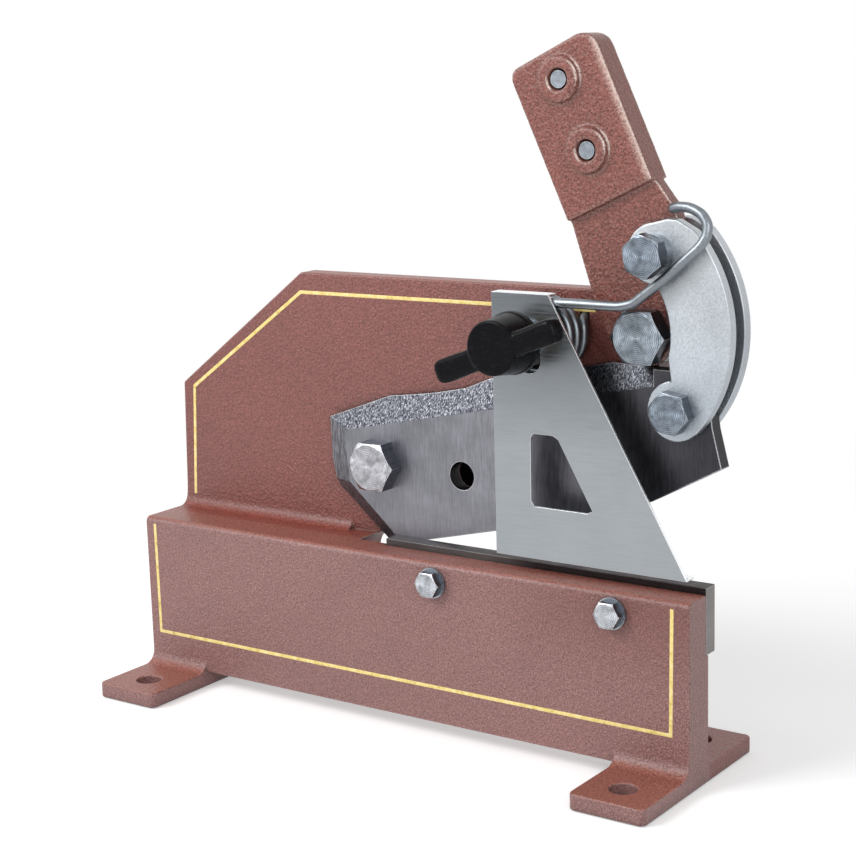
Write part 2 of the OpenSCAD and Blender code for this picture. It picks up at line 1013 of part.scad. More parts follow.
module stud_nut() {
    color([0.70, 0.74, 0.78])
        placed()
            pivot_nut(stud_at, stud_size);
}

module spring_sleeve() {
    color([0.60, 0.62, 0.64])
        placed()
            ring(stud_at, guard_back + seat_gap, plate_setback,
                coil_radius * sleeve_share, stud_size / 2 + running_gap);
}

// wing knob

knob_back = knob_length - knob_reach;
guard_washer_front = guard_setback - seat_gap - stud_size * washer_height_share;

module wing_knob() {
    half = knob_span / 2 - knob_wing_width / 2;
    color([0.06, 0.06, 0.07])
        placed()
            difference() {
                union() {
                    translate([stud_x, knob_back, stud_z])
                        rotate([90, 0, 0])
                            cylinder(
                                h = knob_length,
                                r1 = knob_hub * knob_collar_share / 2,
                                r2 = knob_hub / 2,
                                $fn = circle_sides
                            );
                    bar(stud_at, knob_back - knob_length * knob_collar_depth_share,
                        knob_back, knob_hub * knob_collar_share / 2);
                    slab(-knob_reach + seat_gap, knob_wing_depth)
                        translate(stud_at)
                            rotate([0, 0, knob_turn])
                                translate([0, -knob_wing_drop]) {
                                    translate([-half, -knob_wing_width / 2])
                                        square([2 * half, knob_wing_width]);
                                    for (side = [-half, half])
                                        translate([side, 0])
                                            circle(r = knob_wing_width / 2,
                                                $fn = circle_sides);
                                }
                }
                bar(stud_at, -knob_reach + knob_length * knob_cap_share,
                    knob_back + cut_over, stud_size * insert_radius_share);
            }
}

module knob_insert() {
    color([0.72, 0.60, 0.32])
        placed()
            ring(stud_at, -knob_reach + knob_length * knob_cap_share,
                guard_washer_front, stud_size * insert_radius_share,
                stud_size / 2 + running_gap);
}

module guard_washer() {
    color([0.70, 0.74, 0.78])
        placed()
            ring(stud_at, guard_washer_front,
                guard_washer_front + stud_size * washer_height_share,
                stud_size * guard_washer_share, stud_size / 2 + running_gap);
}

// hook spring: one wire wound round the sleeve, its tail let into the plate and its
// front end carried on as an arm that hooks behind the lever

coil_front = guard_back + loose_gap + wire_size / 2;
coil_steps = round(coil_turns * coil_rings_per_turn);
coil_end_angle = 90 + coil_turns * 360;
coil_end = coil_front + coil_pitch * coil_turns;
bend_share = 0.65;
bend_radius = wire_size * bend_share;
tail_depth_share = 1.7;
tail_hole_depth = wire_size * tail_depth_share;
tail_at = stud_at
    + coil_radius * [cos(coil_end_angle), sin(coil_end_angle)]
    + bend_radius * [-sin(coil_end_angle), cos(coil_end_angle)];

function coil_point(step) =
    let (
        turn = coil_turns * step / coil_steps,
        angle = 90 + turn * 360
    ) [
        stud_x + coil_radius * cos(angle),
        coil_front + coil_pitch * turn,
        stud_z + coil_radius * sin(angle)
    ];
function arm_point(share) = [
    stud_x + share[0] * link_reach,
    coil_front + share[1] * plate_setback,
    stud_z + share[2] * link_reach
];
function bend_point(step) =
    let (angle = 90 * step / bend_rings)
    coil_point(coil_steps)
        + bend_radius * sin(angle) * [-sin(coil_end_angle), 0, cos(coil_end_angle)]
        + [0, bend_radius * (1 - cos(angle)), 0];

arm_length = len(arm_shares);
tip_base = arm_point(arm_shares[arm_length - 1]);
lever_touch = blade_front - seat_gap;
tip_near = [tip_base[0], lever_touch - wire_size, tip_base[2]];
tip_end = [tip_base[0], lever_touch, tip_base[2]];

wire_route = concat(
    [tip_end, tip_near],
    [for (index = [arm_length - 2 : -1 : 0]) arm_point(arm_shares[index])],
    [for (step = [0 : coil_steps]) coil_point(step)],
    [for (step = [1 : bend_rings]) bend_point(step)],
    [bend_point(bend_rings) + [0, wire_size, 0]]
);

function unit(vector) = vector / norm(vector);
function wire_heading(index) =
    let (last = len(wire_route) - 1)
    index == 0 ? unit(wire_route[1] - wire_route[0])
    : index == last ? unit(wire_route[last] - wire_route[last - 1])
    : unit(
        unit(wire_route[index + 1] - wire_route[index])
        + unit(wire_route[index] - wire_route[index - 1])
    );

// carries a side direction along the route without twisting it
function carried(side, heading) = unit(side - (side * heading) * heading);
function wire_sides_along(index, side) =
    index == len(wire_route) ? []
    : let (next = carried(side, wire_heading(index)))
        concat([next], wire_sides_along(index + 1, next));
wire_frames = wire_sides_along(0, [1, 0, 0]);

function wire_ring(index) =
    let (
        heading = wire_heading(index),
        side = wire_frames[index],
        other = cross(heading, side)
    ) [
        for (turn = [0 : wire_sides - 1])
            wire_route[index] + wire_size / 2
                * (cos(turn * 360 / wire_sides) * side + sin(turn * 360 / wire_sides) * other)
    ];

module hook_spring() {
    count = len(wire_route);
    points = [for (index = [0 : count - 1]) each wire_ring(index)];
    walls = [
        for (index = [0 : count - 2])
            for (turn = [0 : wire_sides - 1])
                let (
                    near = index * wire_sides + turn,
                    beside = index * wire_sides + (turn + 1) % wire_sides
                )
                each [
                    [near, near + wire_sides, beside],
                    [beside, near + wire_sides, beside + wire_sides]
                ]
    ];
    last = (count - 1) * wire_sides;
    ends = [
        for (turn = [1 : wire_sides - 2])
            each [
                [0, turn, turn + 1],
                [last, last + turn + 1, last + turn]
            ]
    ];
    color([0.62, 0.66, 0.70])
        placed()
            polyhedron(points = points, faces = concat(walls, ends));
}

// least gap between far parts of the wire, measured on its route points and midpoints
fine_route = [
    for (index = [0 : len(wire_route) - 2])
        each [wire_route[index], (wire_route[index] + wire_route[index + 1]) / 2]
];
wire_gap = min([
    for (first = [0 : len(fine_route) - 1])
        for (second = [first + 2 * coil_rings_per_turn - 2 : 1 : len(fine_route) - 1])
            norm(fine_route[first] - fine_route[second]) - wire_size
]);
echo(least_gap_of_the_wire_to_itself = wire_gap);

frame_casting();
lower_blade();
lower_blade_bolts();
lower_blade_washers();
upper_blade();
blade_pivot_bush();
blade_pivot_bolt();
blade_pivot_washer();
blade_pivot_nut();
lever();
lever_pivot_bush();
lever_link_bush();
lever_pivot_bolt();
lever_pivot_washer();
lever_pivot_nut();
handle_clamp_bolts();
front_link();
rear_link();
link_top_bolt();
link_top_collar();
link_top_nut();
link_bottom_bolt();
link_bottom_nut();
guard_plate();
hold_down_stud();
stud_washer();
stud_nut();
spring_sleeve();
guard_washer();
wing_knob();
knob_insert();
hook_spring();
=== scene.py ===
# %% [markdown]
# # A bench lever shear, dressed for its picture
# Every casting, blade and bolt of this machine is drawn as an exact solid. Here each piece
# gets what a drawing leaves out, such as soft cast edges, hammered paint, turned bolt heads
# and a bent wire. Nothing is moved or resized.

# %% Load the fixed model
import math

import bmesh
import bpy
import numpy as np
from mathutils import Matrix, Vector


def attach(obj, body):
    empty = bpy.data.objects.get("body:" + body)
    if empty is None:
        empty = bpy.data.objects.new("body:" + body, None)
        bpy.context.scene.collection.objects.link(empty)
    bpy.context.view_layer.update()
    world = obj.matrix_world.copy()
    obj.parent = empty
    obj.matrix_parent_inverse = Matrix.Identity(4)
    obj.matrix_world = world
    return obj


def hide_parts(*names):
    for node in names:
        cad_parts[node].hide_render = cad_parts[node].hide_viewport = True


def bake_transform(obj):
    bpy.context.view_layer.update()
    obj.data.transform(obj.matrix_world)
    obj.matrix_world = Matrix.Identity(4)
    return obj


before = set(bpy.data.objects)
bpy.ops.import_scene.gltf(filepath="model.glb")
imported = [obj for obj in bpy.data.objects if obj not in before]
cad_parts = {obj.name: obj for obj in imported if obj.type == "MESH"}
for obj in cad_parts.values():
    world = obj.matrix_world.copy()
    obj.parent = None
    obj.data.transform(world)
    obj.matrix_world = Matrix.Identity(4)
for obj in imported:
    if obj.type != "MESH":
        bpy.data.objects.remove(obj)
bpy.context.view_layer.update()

# %% [markdown]
# ## One way to write places
# The drawing measures from the left end, front face and underside of the base, in
# millimetres. Blender wants metres from the middle of the foot holes. One small function
# turns the first into the second, so every number below can be checked with a ruler.

# %% From ruler places to Blender places
DRAWING_ORIGIN = np.array([165.0, 11.0, 0.0])
MILLIMETRES = 1000.0


def placed(points):
    """Places in metres: drawing places less the foot holes' middle, divided by 1000."""
    return (np.asarray(points, dtype=float) - DRAWING_ORIGIN) / MILLIMETRES


BLADE_PIVOT = (142.0, 129.0)
LEVER_PIVOT = (295.1, 204.6)
LINK_TOP = (302.9, 242.5)
LINK_BOTTOM = (312.7, 172.2)
GUARD_STUD = (243.0, 202.3)
BAR_HOLE = (192.1, 128.2)
print("lever pivot sits at", placed((LEVER_PIVOT[0], 29.1, LEVER_PIVOT[1])))

# %% [markdown]
# ## From arrays to a mesh
# A surface of two parameters is a grid of points: one parameter runs round, the other
# along. Four neighbours make a face. Where a row shrinks to one point, such as the middle of
# a bolt head, the doubled points are merged, which closes the pole.

# %% Mesh helpers
MERGE_DISTANCE = 1e-6


def linked(name, data):
    """A new object at the origin with this mesh, lamp or camera."""
    thing = bpy.data.objects.new(name, data)
    bpy.context.scene.collection.objects.link(thing)
    return thing


def grid_faces(rows, columns):
    """Faces of a grid that is closed round, with four corners each."""
    row, column = np.meshgrid(np.arange(rows - 1), np.arange(columns), indexing="ij")
    beside = (column + 1) % columns
    faces = np.stack([row * columns + column, (row + 1) * columns + column,
                      (row + 1) * columns + beside, row * columns + beside], axis=-1)
    return faces.reshape(-1, 4)


def finish_mesh(mesh, crease_degrees):
    """Merges doubled points, turns the faces outwards and keeps only real edges sharp."""
    work = bmesh.new()
    work.from_mesh(mesh)
    bmesh.ops.remove_doubles(work, verts=work.verts, dist=MERGE_DISTANCE)
    bmesh.ops.dissolve_degenerate(work, edges=work.edges, dist=MERGE_DISTANCE)
    bmesh.ops.recalc_face_normals(work, faces=work.faces)
    work.to_mesh(mesh)
    work.free()
    mesh.shade_smooth()
    mesh.set_sharp_from_angle(angle=math.radians(crease_degrees))


def mesh_piece(name, points, faces, crease_degrees=35.0):
    """An object at the origin whose mesh holds the given points, in drawing places."""
    mesh = bpy.data.meshes.new(name)
    mesh.from_pydata(placed(points).tolist(), [], np.asarray(faces).tolist())
    finish_mesh(mesh, crease_degrees)
    return linked(name, mesh)


def joined_grids(grids):
    """Several closed grids as one list of points and faces, each grid after the last."""
    points, faces, offset = [], [], 0
    for grid in grids:
        rows, columns = grid.shape[:2]
        points.append(grid.reshape(-1, 3))
        faces.append(grid_faces(rows, columns) + offset)
        offset += rows * columns
    return np.concatenate(points), np.concatenate(faces)


def settle(piece, body, *nodes):
    """The piece rides on its body and stands for the CAD nodes named."""
    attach(piece, body)
    if nodes:
        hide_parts(*nodes)
    return piece


# %% [markdown]
# ## Node materials from small parts
# Each finish below is a few nodes: a pattern in the object's own coordinates, a ramp that
# turns it into a colour or a roughness, and a bump. These helpers only save typing. Most of
# them take the node tree that their nodes go into as their first value.

# %% Material helpers
WHITE = (1.0, 1.0, 1.0)


def grey(value):
    """A colour with three equal parts."""
    return (value, value, value)


def start_material(name, colour, metallic, roughness):
    """A material, its node tree and its shader: plain values sit on the shader itself."""
    material = bpy.data.materials.new(name)
    material.use_nodes = True
    material.diffuse_color = (*colour, 1.0)
    tree = material.node_tree
    shader = tree.nodes["Principled BSDF"]
    fill(tree, shader, {"Base Color": colour, "Metallic": metallic, "Roughness": roughness})
    return material, tree, shader


def fill(tree, node, inputs):
    """Each input gets a link from an output, or else a plain number, place or colour."""
    for key, value in dict(inputs).items():
        socket = node.inputs[key]
        if isinstance(value, bpy.types.NodeSocket):
            tree.links.new(value, socket)
        else:
            socket.default_value = (*value, 1.0) if socket.type == "RGBA" else value


def made(tree, kind, inputs=(), **settings):
    """A new shader node of a kind, with its settings set and its inputs filled."""
    node = tree.nodes.new("ShaderNode" + kind)
    for setting, value in settings.items():
        setattr(node, setting, value)
    fill(tree, node, inputs)
    return node


def place_pattern(tree, scale=(1, 1, 1), shift=(0, 0, 0), turn=(0, 0, 0)):
    """The object's own coordinates, scaled, shifted and turned for a pattern."""
    return made(tree, "Mapping", {"Vector": made(tree, "TexCoord").outputs["Object"],
                                  "Scale": scale, "Location": shift,
                                  "Rotation": turn}).outputs["Vector"]


def noise(tree, where, scale, detail=4.0, roughness=0.55):
    """Cloudy noise; scale counts its blots in a metre."""
    return made(tree, "TexNoise", {"Vector": where, "Scale": scale, "Detail": detail,
                                   "Roughness": roughness}).outputs["Fac"]


def ramp(tree, value, stops):
    """A colour ramp: stops are pairs of a position and a linear colour."""
    node = made(tree, "ValToRGB", {"Fac": value})
    elements = node.color_ramp.elements
    elements[0].position, elements[0].color = stops[0][0], (*stops[0][1], 1.0)
    elements[1].position, elements[1].color = stops[-1][0], (*stops[-1][1], 1.0)
    for position, colour in stops[1:-1]:
        elements.new(position).color = (*colour, 1.0)
    return node.outputs["Color"]


def spread(tree, value, low, high, start=0.0, end=1.0):
    """A number carried from the range start..end to the range low..high."""
    return made(tree, "MapRange", {"Value": value, "From Min": start, "From Max": end,
                                   "To Min": low, "To Max": high}).outputs["Result"]


def rise(tree, value, start, end):
    """0 before start, 1 past end and a slope between them."""
    return spread(tree, value, 0.0, 1.0, start, end)


def fall(tree, value, start, end):
    """1 before start, 0 past end and a slope between them."""
    return spread(tree, value, 1.0, 0.0, start, end)


def bump(tree, shader, height, strength, depth, below=()):
    """Bumps the surface by a height pattern on a bump below it; depth is in metres."""
    node = made(tree, "Bump", {"Height": height, "Strength": strength, "Distance": depth,
                               **dict(below)})
    surface = {"Normal": node.outputs["Normal"]}
    fill(tree, shader, surface)
    return surface


def blended(tree, kind, share, first, second):
    """Two colours mixed by a share, in one of Blender's mixing kinds."""
    return made(tree, "Mix", {0: share, 6: first, 7: second}, data_type="RGBA",
                blend_type=kind).outputs[2]


def shaded(tree, tone, share, pattern, stops):
    """The tone times a ramp over a pattern, by a share."""
    return blended(tree, "MULTIPLY", share, tone, ramp(tree, pattern, stops))


def product(tree, *factors):
    """Numbers multiplied one after another."""
    result = factors[0]
    for factor in factors[1:]:
        result = made(tree, "Math", {0: result, 1: factor}, operation="MULTIPLY").outputs[0]
    return result


def vector_math(tree, kind, *vectors):
    """One step of vector arithmetic on one or two vectors."""
    return made(tree, "VectorMath", enumerate(vectors), operation=kind).outputs


def parts(tree, vector):
    """The X, Y and Z of a vector."""
    return made(tree, "SeparateXYZ", {0: vector}).outputs


def own(tree, kind):
    """The X, Y and Z of the piece's own place (Object) or direction (Normal)."""
    return parts(tree, made(tree, "TexCoord").outputs[kind])


# %% [markdown]
# ## Where an edge is
# Paint and plating wear through along edges first. The Bevel node looks a short way round
# each point and bends the normal near an edge, so the angle between the bent normal and the
# true one is a mask that is white on edges and black on flats. A second mask is white
# inside a round hole, and a tint carries a colour change along one axis.

# %% Masks and tints
def edge_mask(tree, radius, start=0.0, end=0.25):
    """1 along edges within the radius in metres, 0 on flat faces."""
    soft = made(tree, "Bevel", {"Radius": radius}, samples=4)
    true = made(tree, "NewGeometry")
    agree = vector_math(tree, "DOT_PRODUCT", soft.outputs["Normal"], true.outputs["Normal"])
    return rise(tree, agree["Value"], 1.0 - start, 1.0 - end)


def about_axis(tree, middle):
    """Own coordinates measured from an axis along Y, with their depth taken out."""
    centre = placed((middle[0], 0.0, middle[1]))
    return place_pattern(tree, (1, 0, 1), (-centre[0], 0.0, -centre[2]))


def inside_bore(tree, middle, radius):
    """1 within a radius in millimetres of an axis along Y, 0 outside it."""
    away = vector_math(tree, "LENGTH", about_axis(tree, middle))["Value"]
    rim = radius / MILLIMETRES
    return fall(tree, away, rim - 0.0001, rim + 0.0001)


def tinted(tree, tone, axis, start, end, first, second):
    """The tone times a colour that goes from first to second along an axis."""
    place = rise(tree, own(tree, "Object")[axis], start, end)
    return shaded(tree, tone, 1.0, place, [(0.0, first), (1.0, second)])


def unchanged(_tree, tone):
    """The tone as it is, for a finish that is the same all over."""
    return tone


# %% [markdown]
# ## Hammered paint
# The stand and the lever are brushed with hammer finish: the paint draws together into
# small raised islands with glossy shoulders. Rounded cells about a millimetre and a half
# across give the islands, and noise of the same size breaks them up. The same noise lifts
# the bumps, and its palest colour on their tops is a painted glint. An ambient occlusion
# node paints shade into corners. Two small functions add what differs from place to place,
# much of it painted light and shade, before and after the edges are worn.

# %% Hammered paint
ISLANDS_PER_METRE = 640.0
COAT_WEIGHT = 0.12
SHINE = 0.5


def cells(tree, where):
    """Rounded cells: the value grows away from each cell's middle."""
    return made(tree, "TexVoronoi", {"Vector": where, "Scale": ISLANDS_PER_METRE,
                                     "Smoothness": 0.6}, feature="SMOOTH_F1").outputs["Distance"]


def hammered_paint(name, dark, light, gloss, grain, wear, most_wear, edge, shade, finish):
    """Islands from rounded cells plus noise, in colour, roughness and bump."""
    material, tree, shader = start_material(name, dark, 0.0, gloss)
    where = place_pattern(tree)
    islands = cells(tree, where)
    fine = noise(tree, where, grain, 3.0, 0.6)
    wide = noise(tree, where, 16.0, 4.0)
    # The palest stop is a painted glint on the tops of the bumps, which the same noise raises; the
    # rest is the paint's own uneven tone.
    glint_speck = tuple(min(1.0, part * 1.35 + 0.04) for part in light)
    tone = ramp(tree, fine, [(0.34, dark), (0.52, light), (0.66, glint_speck)])
    tone = shaded(tree, tone, 0.45, wide, [(0.32, grey(0.72)), (0.68, WHITE)])
    tone = shade(tree, tone)
    # Painted shade: an ambient occlusion node darkens the paint in corners and creases.
    corners = made(tree, "AmbientOcclusion", {"Distance": 0.006}, samples=4).outputs["AO"]
    tone = shaded(tree, tone, 1.0, corners, [(0.30, (0.30, 0.26, 0.25)), (0.85, WHITE)])
    rubbed = product(tree, edge_mask(tree, edge),
                     spread(tree, fine, 0.1, most_wear, 0.35, 0.65))
    tone = blended(tree, "MIX", rubbed, tone, wear)
    fill(tree, shader, {"Specular IOR Level": SHINE, "Coat Weight": COAT_WEIGHT,
                        "Coat Roughness": 0.18, "Base Color": finish(tree, tone, fine, shader),
                        "Roughness": spread(tree, fine, gloss - 0.10, gloss + 0.14, 0.35, 0.65)})
    shoulders = bump(tree, shader, islands, 0.8, 0.00045)
    bump(tree, shader, fine, 0.75, 0.0004, shoulders)
    return material


# %% [markdown]
# ## The stand's paint
# The front of the base is a dusty rose, and the plate behind it is painted a deeper
# red-brown: painted sheen on the base and painted shade on the plate. Faces that look up
# are painted more orange as light falling on them, and the front is painted darker and
# redder towards the upper right as a dark reflection. The bar hole is bored after
# painting, so it is bare, and its near black is painted shade.

# %% The stand's paint
def stand_shade(tree, tone):
    """Tints by place and by the direction that a face looks in."""
    at, facing = own(tree, "Object"), own(tree, "Normal")
    # Painted sheen and shade: the plate behind is painted darker than the front of the base.
    tone = tinted(tree, tone, "Y", 0.0078, 0.0100, WHITE, (0.84, 0.56, 0.51))
    # Painted light: faces that look up are tinted more orange.
    painted_top_light = rise(tree, facing["Z"], 0.45, 0.85)
    tone = blended(tree, "MULTIPLY", painted_top_light, tone, (1.16, 0.79, 0.62))
    # Painted reflection: the front is darker and redder towards the upper right.
    painted_dark_reflection = product(tree, spread(tree, at["X"], 0.0, 0.7, 0.055, 0.125),
                        rise(tree, at["Z"], 0.045, 0.080), fall(tree, facing["Y"], -0.9, -0.4))
    return blended(tree, "MULTIPLY", painted_dark_reflection, tone, (0.72, 0.50, 0.44))


def stand_bore_shade(tree, tone, _fine, shader):
    """No paint and no gloss inside the bar hole, which is painted near black as shade."""
    shaded_bore = inside_bore(tree, BAR_HOLE, 7.25)
    fill(tree, shader, {"Specular IOR Level": spread(tree, shaded_bore, SHINE, 0.0),
                        "Coat Weight": spread(tree, shaded_bore, COAT_WEIGHT, 0.0)})
    return blended(tree, "MIX", shaded_bore, tone, grey(0.004))


frame_paint = hammered_paint(
    "frame_paint", dark=(0.150, 0.066, 0.059), light=(0.262, 0.126, 0.116), gloss=0.36,
    grain=1350.0, wear=(0.62, 0.40, 0.34), most_wear=1.0, edge=0.0012, shade=stand_shade,
    finish=stand_bore_shade)
print("stand's finish", frame_paint.name)

# %% [markdown]
# ## The lever's paint
# The lever is a stronger red, and its front right edge carries a painted highlight of
# pale specks. Two masks find that edge: faces that look the way it does, and a narrow band
# of the front face beside it, measured in a frame that leans with the lever.

# %% The lever's paint
LEAN = math.radians(24.5)
RIDGE = (0.66 * math.cos(LEAN), -0.72, 0.66 * math.sin(LEAN))


def lever_shade(tree, tone):
    """A little darker low down."""
    return tinted(tree, tone, "Z", 0.18, 0.27, (0.78, 0.74, 0.72), (0.94, 0.92, 0.92))


def lever_ridge_highlight(tree, tone, fine, _shader):
    """Painted highlight: pale specks on the ridge and on the front face beside it."""
    normal = made(tree, "TexCoord").outputs["Normal"]
    along_ridge = vector_math(tree, "DOT_PRODUCT", normal, RIDGE)["Value"]
    # Painted highlight along the ridge, where the faces look its way.
    painted_ridge_highlight = product(tree, rise(tree, along_ridge, 0.86, 0.97),
                   spread(tree, fine, 0.35, 1.0, 0.38, 0.55))
    tone = blended(tree, "MIX", painted_ridge_highlight, tone, (0.80, 0.66, 0.60))
    across, up = placed((LEVER_PIVOT[0], 0.0, LEVER_PIVOT[1]))[[0, 2]]
    to_pivot = (-across * math.cos(LEAN) - up * math.sin(LEAN), 0,
                across * math.sin(LEAN) - up * math.cos(LEAN))
    leaned = parts(tree, place_pattern(tree, shift=to_pivot, turn=(0, LEAN, 0)))
    # Painted highlight on a narrow band of the front face beside the ridge.
    painted_highlight_band = product(tree, spread(tree, leaned["X"], 0.0, 0.8, 0.0298, 0.0332),
                   rise(tree, leaned["Z"], 0.061, 0.064),
                   rise(tree, own(tree, "Normal")["Y"], -0.55, -0.85),
                   spread(tree, fine, 0.35, 1.0, 0.38, 0.58))
    return blended(tree, "MIX", painted_highlight_band, tone, (0.66, 0.47, 0.41))


lever_paint = hammered_paint(
    "lever_paint", dark=(0.108, 0.027, 0.019), light=(0.240, 0.071, 0.052), gloss=0.34,
    grain=1250.0, wear=(0.74, 0.60, 0.54), most_wear=1.5, edge=0.0022, shade=lever_shade,
    finish=lever_ridge_highlight)
print("lever's finish", lever_paint.name)

# %% [markdown]
# ## The lining paint
# The yellow lines are gloss paint from a thin brush. Where soft noise makes the coat thin,
# the red below shows through a little as ochre.

# %% The lining paint
stripe_paint, tree, shader = start_material("stripe_paint", (0.80, 0.60, 0.16), 0.0, 0.42)
brushed_on = noise(tree, place_pattern(tree), 420.0)
ochre_to_yellow = [(0.28, (0.56, 0.42, 0.12)), (0.42, (0.80, 0.62, 0.20)),
                   (0.65, (0.88, 0.74, 0.34))]
fill(tree, shader, {"Base Color": ramp(tree, brushed_on, ochre_to_yellow)})
bump(tree, shader, brushed_on, 0.4, 0.0002)
print("lining finish", stripe_paint.name)

# %% [markdown]
# ## Bare and plated steel
# Four steels differ in how they were worked. Blades are ground, so fine scratches run along
# them. The guard is rolled zinc sheet with a soft sheen. Links are blanked plate, tumbled
# until they are evenly dull. Bolts are plated bright, and their heads show lathe rings.

# %% Worked steel
def worked_steel(name, colour, roughness, grain, grain_depth, cloud=0.12, edge_highlight=0.0,
                 streaks=0.5, shade=unchanged, finish=unchanged):
    """Metal with scratches stretched along one axis by the grain's scale, and soft clouds."""
    material, tree, shader = start_material(name, colour, 1.0, roughness)
    scratch = noise(tree, place_pattern(tree, grain), 1.0, 6.0, 0.65)
    clouds = noise(tree, place_pattern(tree), 28.0, 5.0, 0.6)
    low = tuple(part * (1.0 - cloud) for part in colour)
    high = tuple(min(1.0, part * (1.0 + cloud)) for part in colour)
    tone = ramp(tree, clouds, [(0.3, low), (0.7, high)])
    tone = shaded(tree, tone, streaks, scratch, [(0.36, grey(0.6)), (0.6, WHITE)])
    tone = shade(tree, tone)
    # Painted highlight: a pale line along the edges.
    if edge_highlight:
        rim = product(tree, edge_mask(tree, 0.0006), edge_highlight)
        tone = blended(tree, "MIX", rim, tone, (0.86, 0.87, 0.90))
    uneven = spread(tree, scratch, roughness - 0.09, roughness + 0.13, 0.3, 0.7)
    fill(tree, shader, {"Base Color": finish(tree, tone), "Roughness": uneven})
    bump(tree, shader, scratch, 0.5, grain_depth)
    return material


# %% [markdown]
# ## Each plate's painted light and shade
# The lower blade is painted dark as shade where it rises over the wall. The links are
# painted brighter near the top as light, and the guard darker behind the knob as shade.
# The guard's sheared edges carry a painted highlight: they are the faces that look neither
# forward nor back.

# %% Steels
def shaded_top(tree, tone):
    """Painted shade: dark above the wall's top on the front and top faces, most of all at the
    right.
    """
    at, facing = own(tree, "Object"), own(tree, "Normal")
    painted_top_shade = product(tree, fall(tree, facing["X"], 0.4, 0.8), rise(tree, at["Z"], 0.0885, 0.0900),
                    spread(tree, at["X"], 0.55, 1.0, 0.045, 0.075))
    return blended(tree, "MULTIPLY", painted_top_shade, tone, (0.16, 0.13, 0.14))


def painted_light_above(tree, tone):
    """Painted light: from dull at the lower bolt to bright at the upper one."""
    return tinted(tree, tone, "Z", 0.15, 0.25, (0.80, 0.83, 0.86), (1.05, 1.04, 1.03))


def painted_shade_above(tree, tone):
    """Painted shade: from bright in the middle to dark behind the knob."""
    return tinted(tree, tone, "Z", 0.150, 0.222, WHITE, (0.52, 0.53, 0.54))


def sheared_edge_highlight(tree, tone):
    """Painted highlight on the edges, except round the stud."""
    facing = own(tree, "Normal")
    painted_sheared_highlight = product(tree, rise(tree, facing["Y"], -0.9, -0.4), fall(tree, facing["Y"], 0.3, 0.8),
                      spread(tree, inside_bore(tree, GUARD_STUD, 18.0), 1.0, 0.0))
    return blended(tree, "MIX", painted_sheared_highlight, tone, (0.93, 0.94, 0.96))


lower_blade_steel = worked_steel(
    "lower_blade_steel", (0.235, 0.222, 0.215), roughness=0.42, grain=(80, 80, 1600),
    grain_depth=0.00006, cloud=0.15, edge_highlight=0.5, shade=shaded_top)
link_steel = worked_steel(
    "link_steel", (0.545, 0.58, 0.615), roughness=0.42, grain=(900, 900, 900),
    grain_depth=0.00005, cloud=0.14, edge_highlight=0.5, shade=painted_light_above)
guard_zinc = worked_steel(
    "guard_zinc", (0.340, 0.363, 0.383), roughness=0.36, grain=(60, 60, 1400),
    grain_depth=0.00003, cloud=0.03, edge_highlight=0.85, streaks=0.2, shade=painted_shade_above,
    finish=sheared_edge_highlight)
spring_steel = worked_steel("spring_steel", (0.25, 0.275, 0.30), 0.36, (900, 900, 900), 0.00004)
# The sleeve is painted near black as shade.
sleeve_steel = worked_steel("sleeve_steel", (0.05, 0.05, 0.055), 0.40, (200, 2000, 200), 0.00004)
bush_bronze = worked_steel("bush_bronze", (0.60, 0.42, 0.18), 0.35, (200, 2000, 200), 0.00003)
print("steels", lower_blade_steel.name, link_steel.name, guard_zinc.name, spring_steel.name)

# %% [markdown]
# ## The upper blade's two grinds
# The flat of the blade was brushed almost upright, and the long slopes at its rim were cut
# on a coarse wheel, so they carry a cross hatch. The hatch's dark tone is painted shade,
# painted lighter where the slopes look left, and its bright flecks are painted glints. The
# slopes are told from the flat by the mesh's own normal: on the flat it points straight
# forward. The flat is painted darker towards the cutting end as shade.

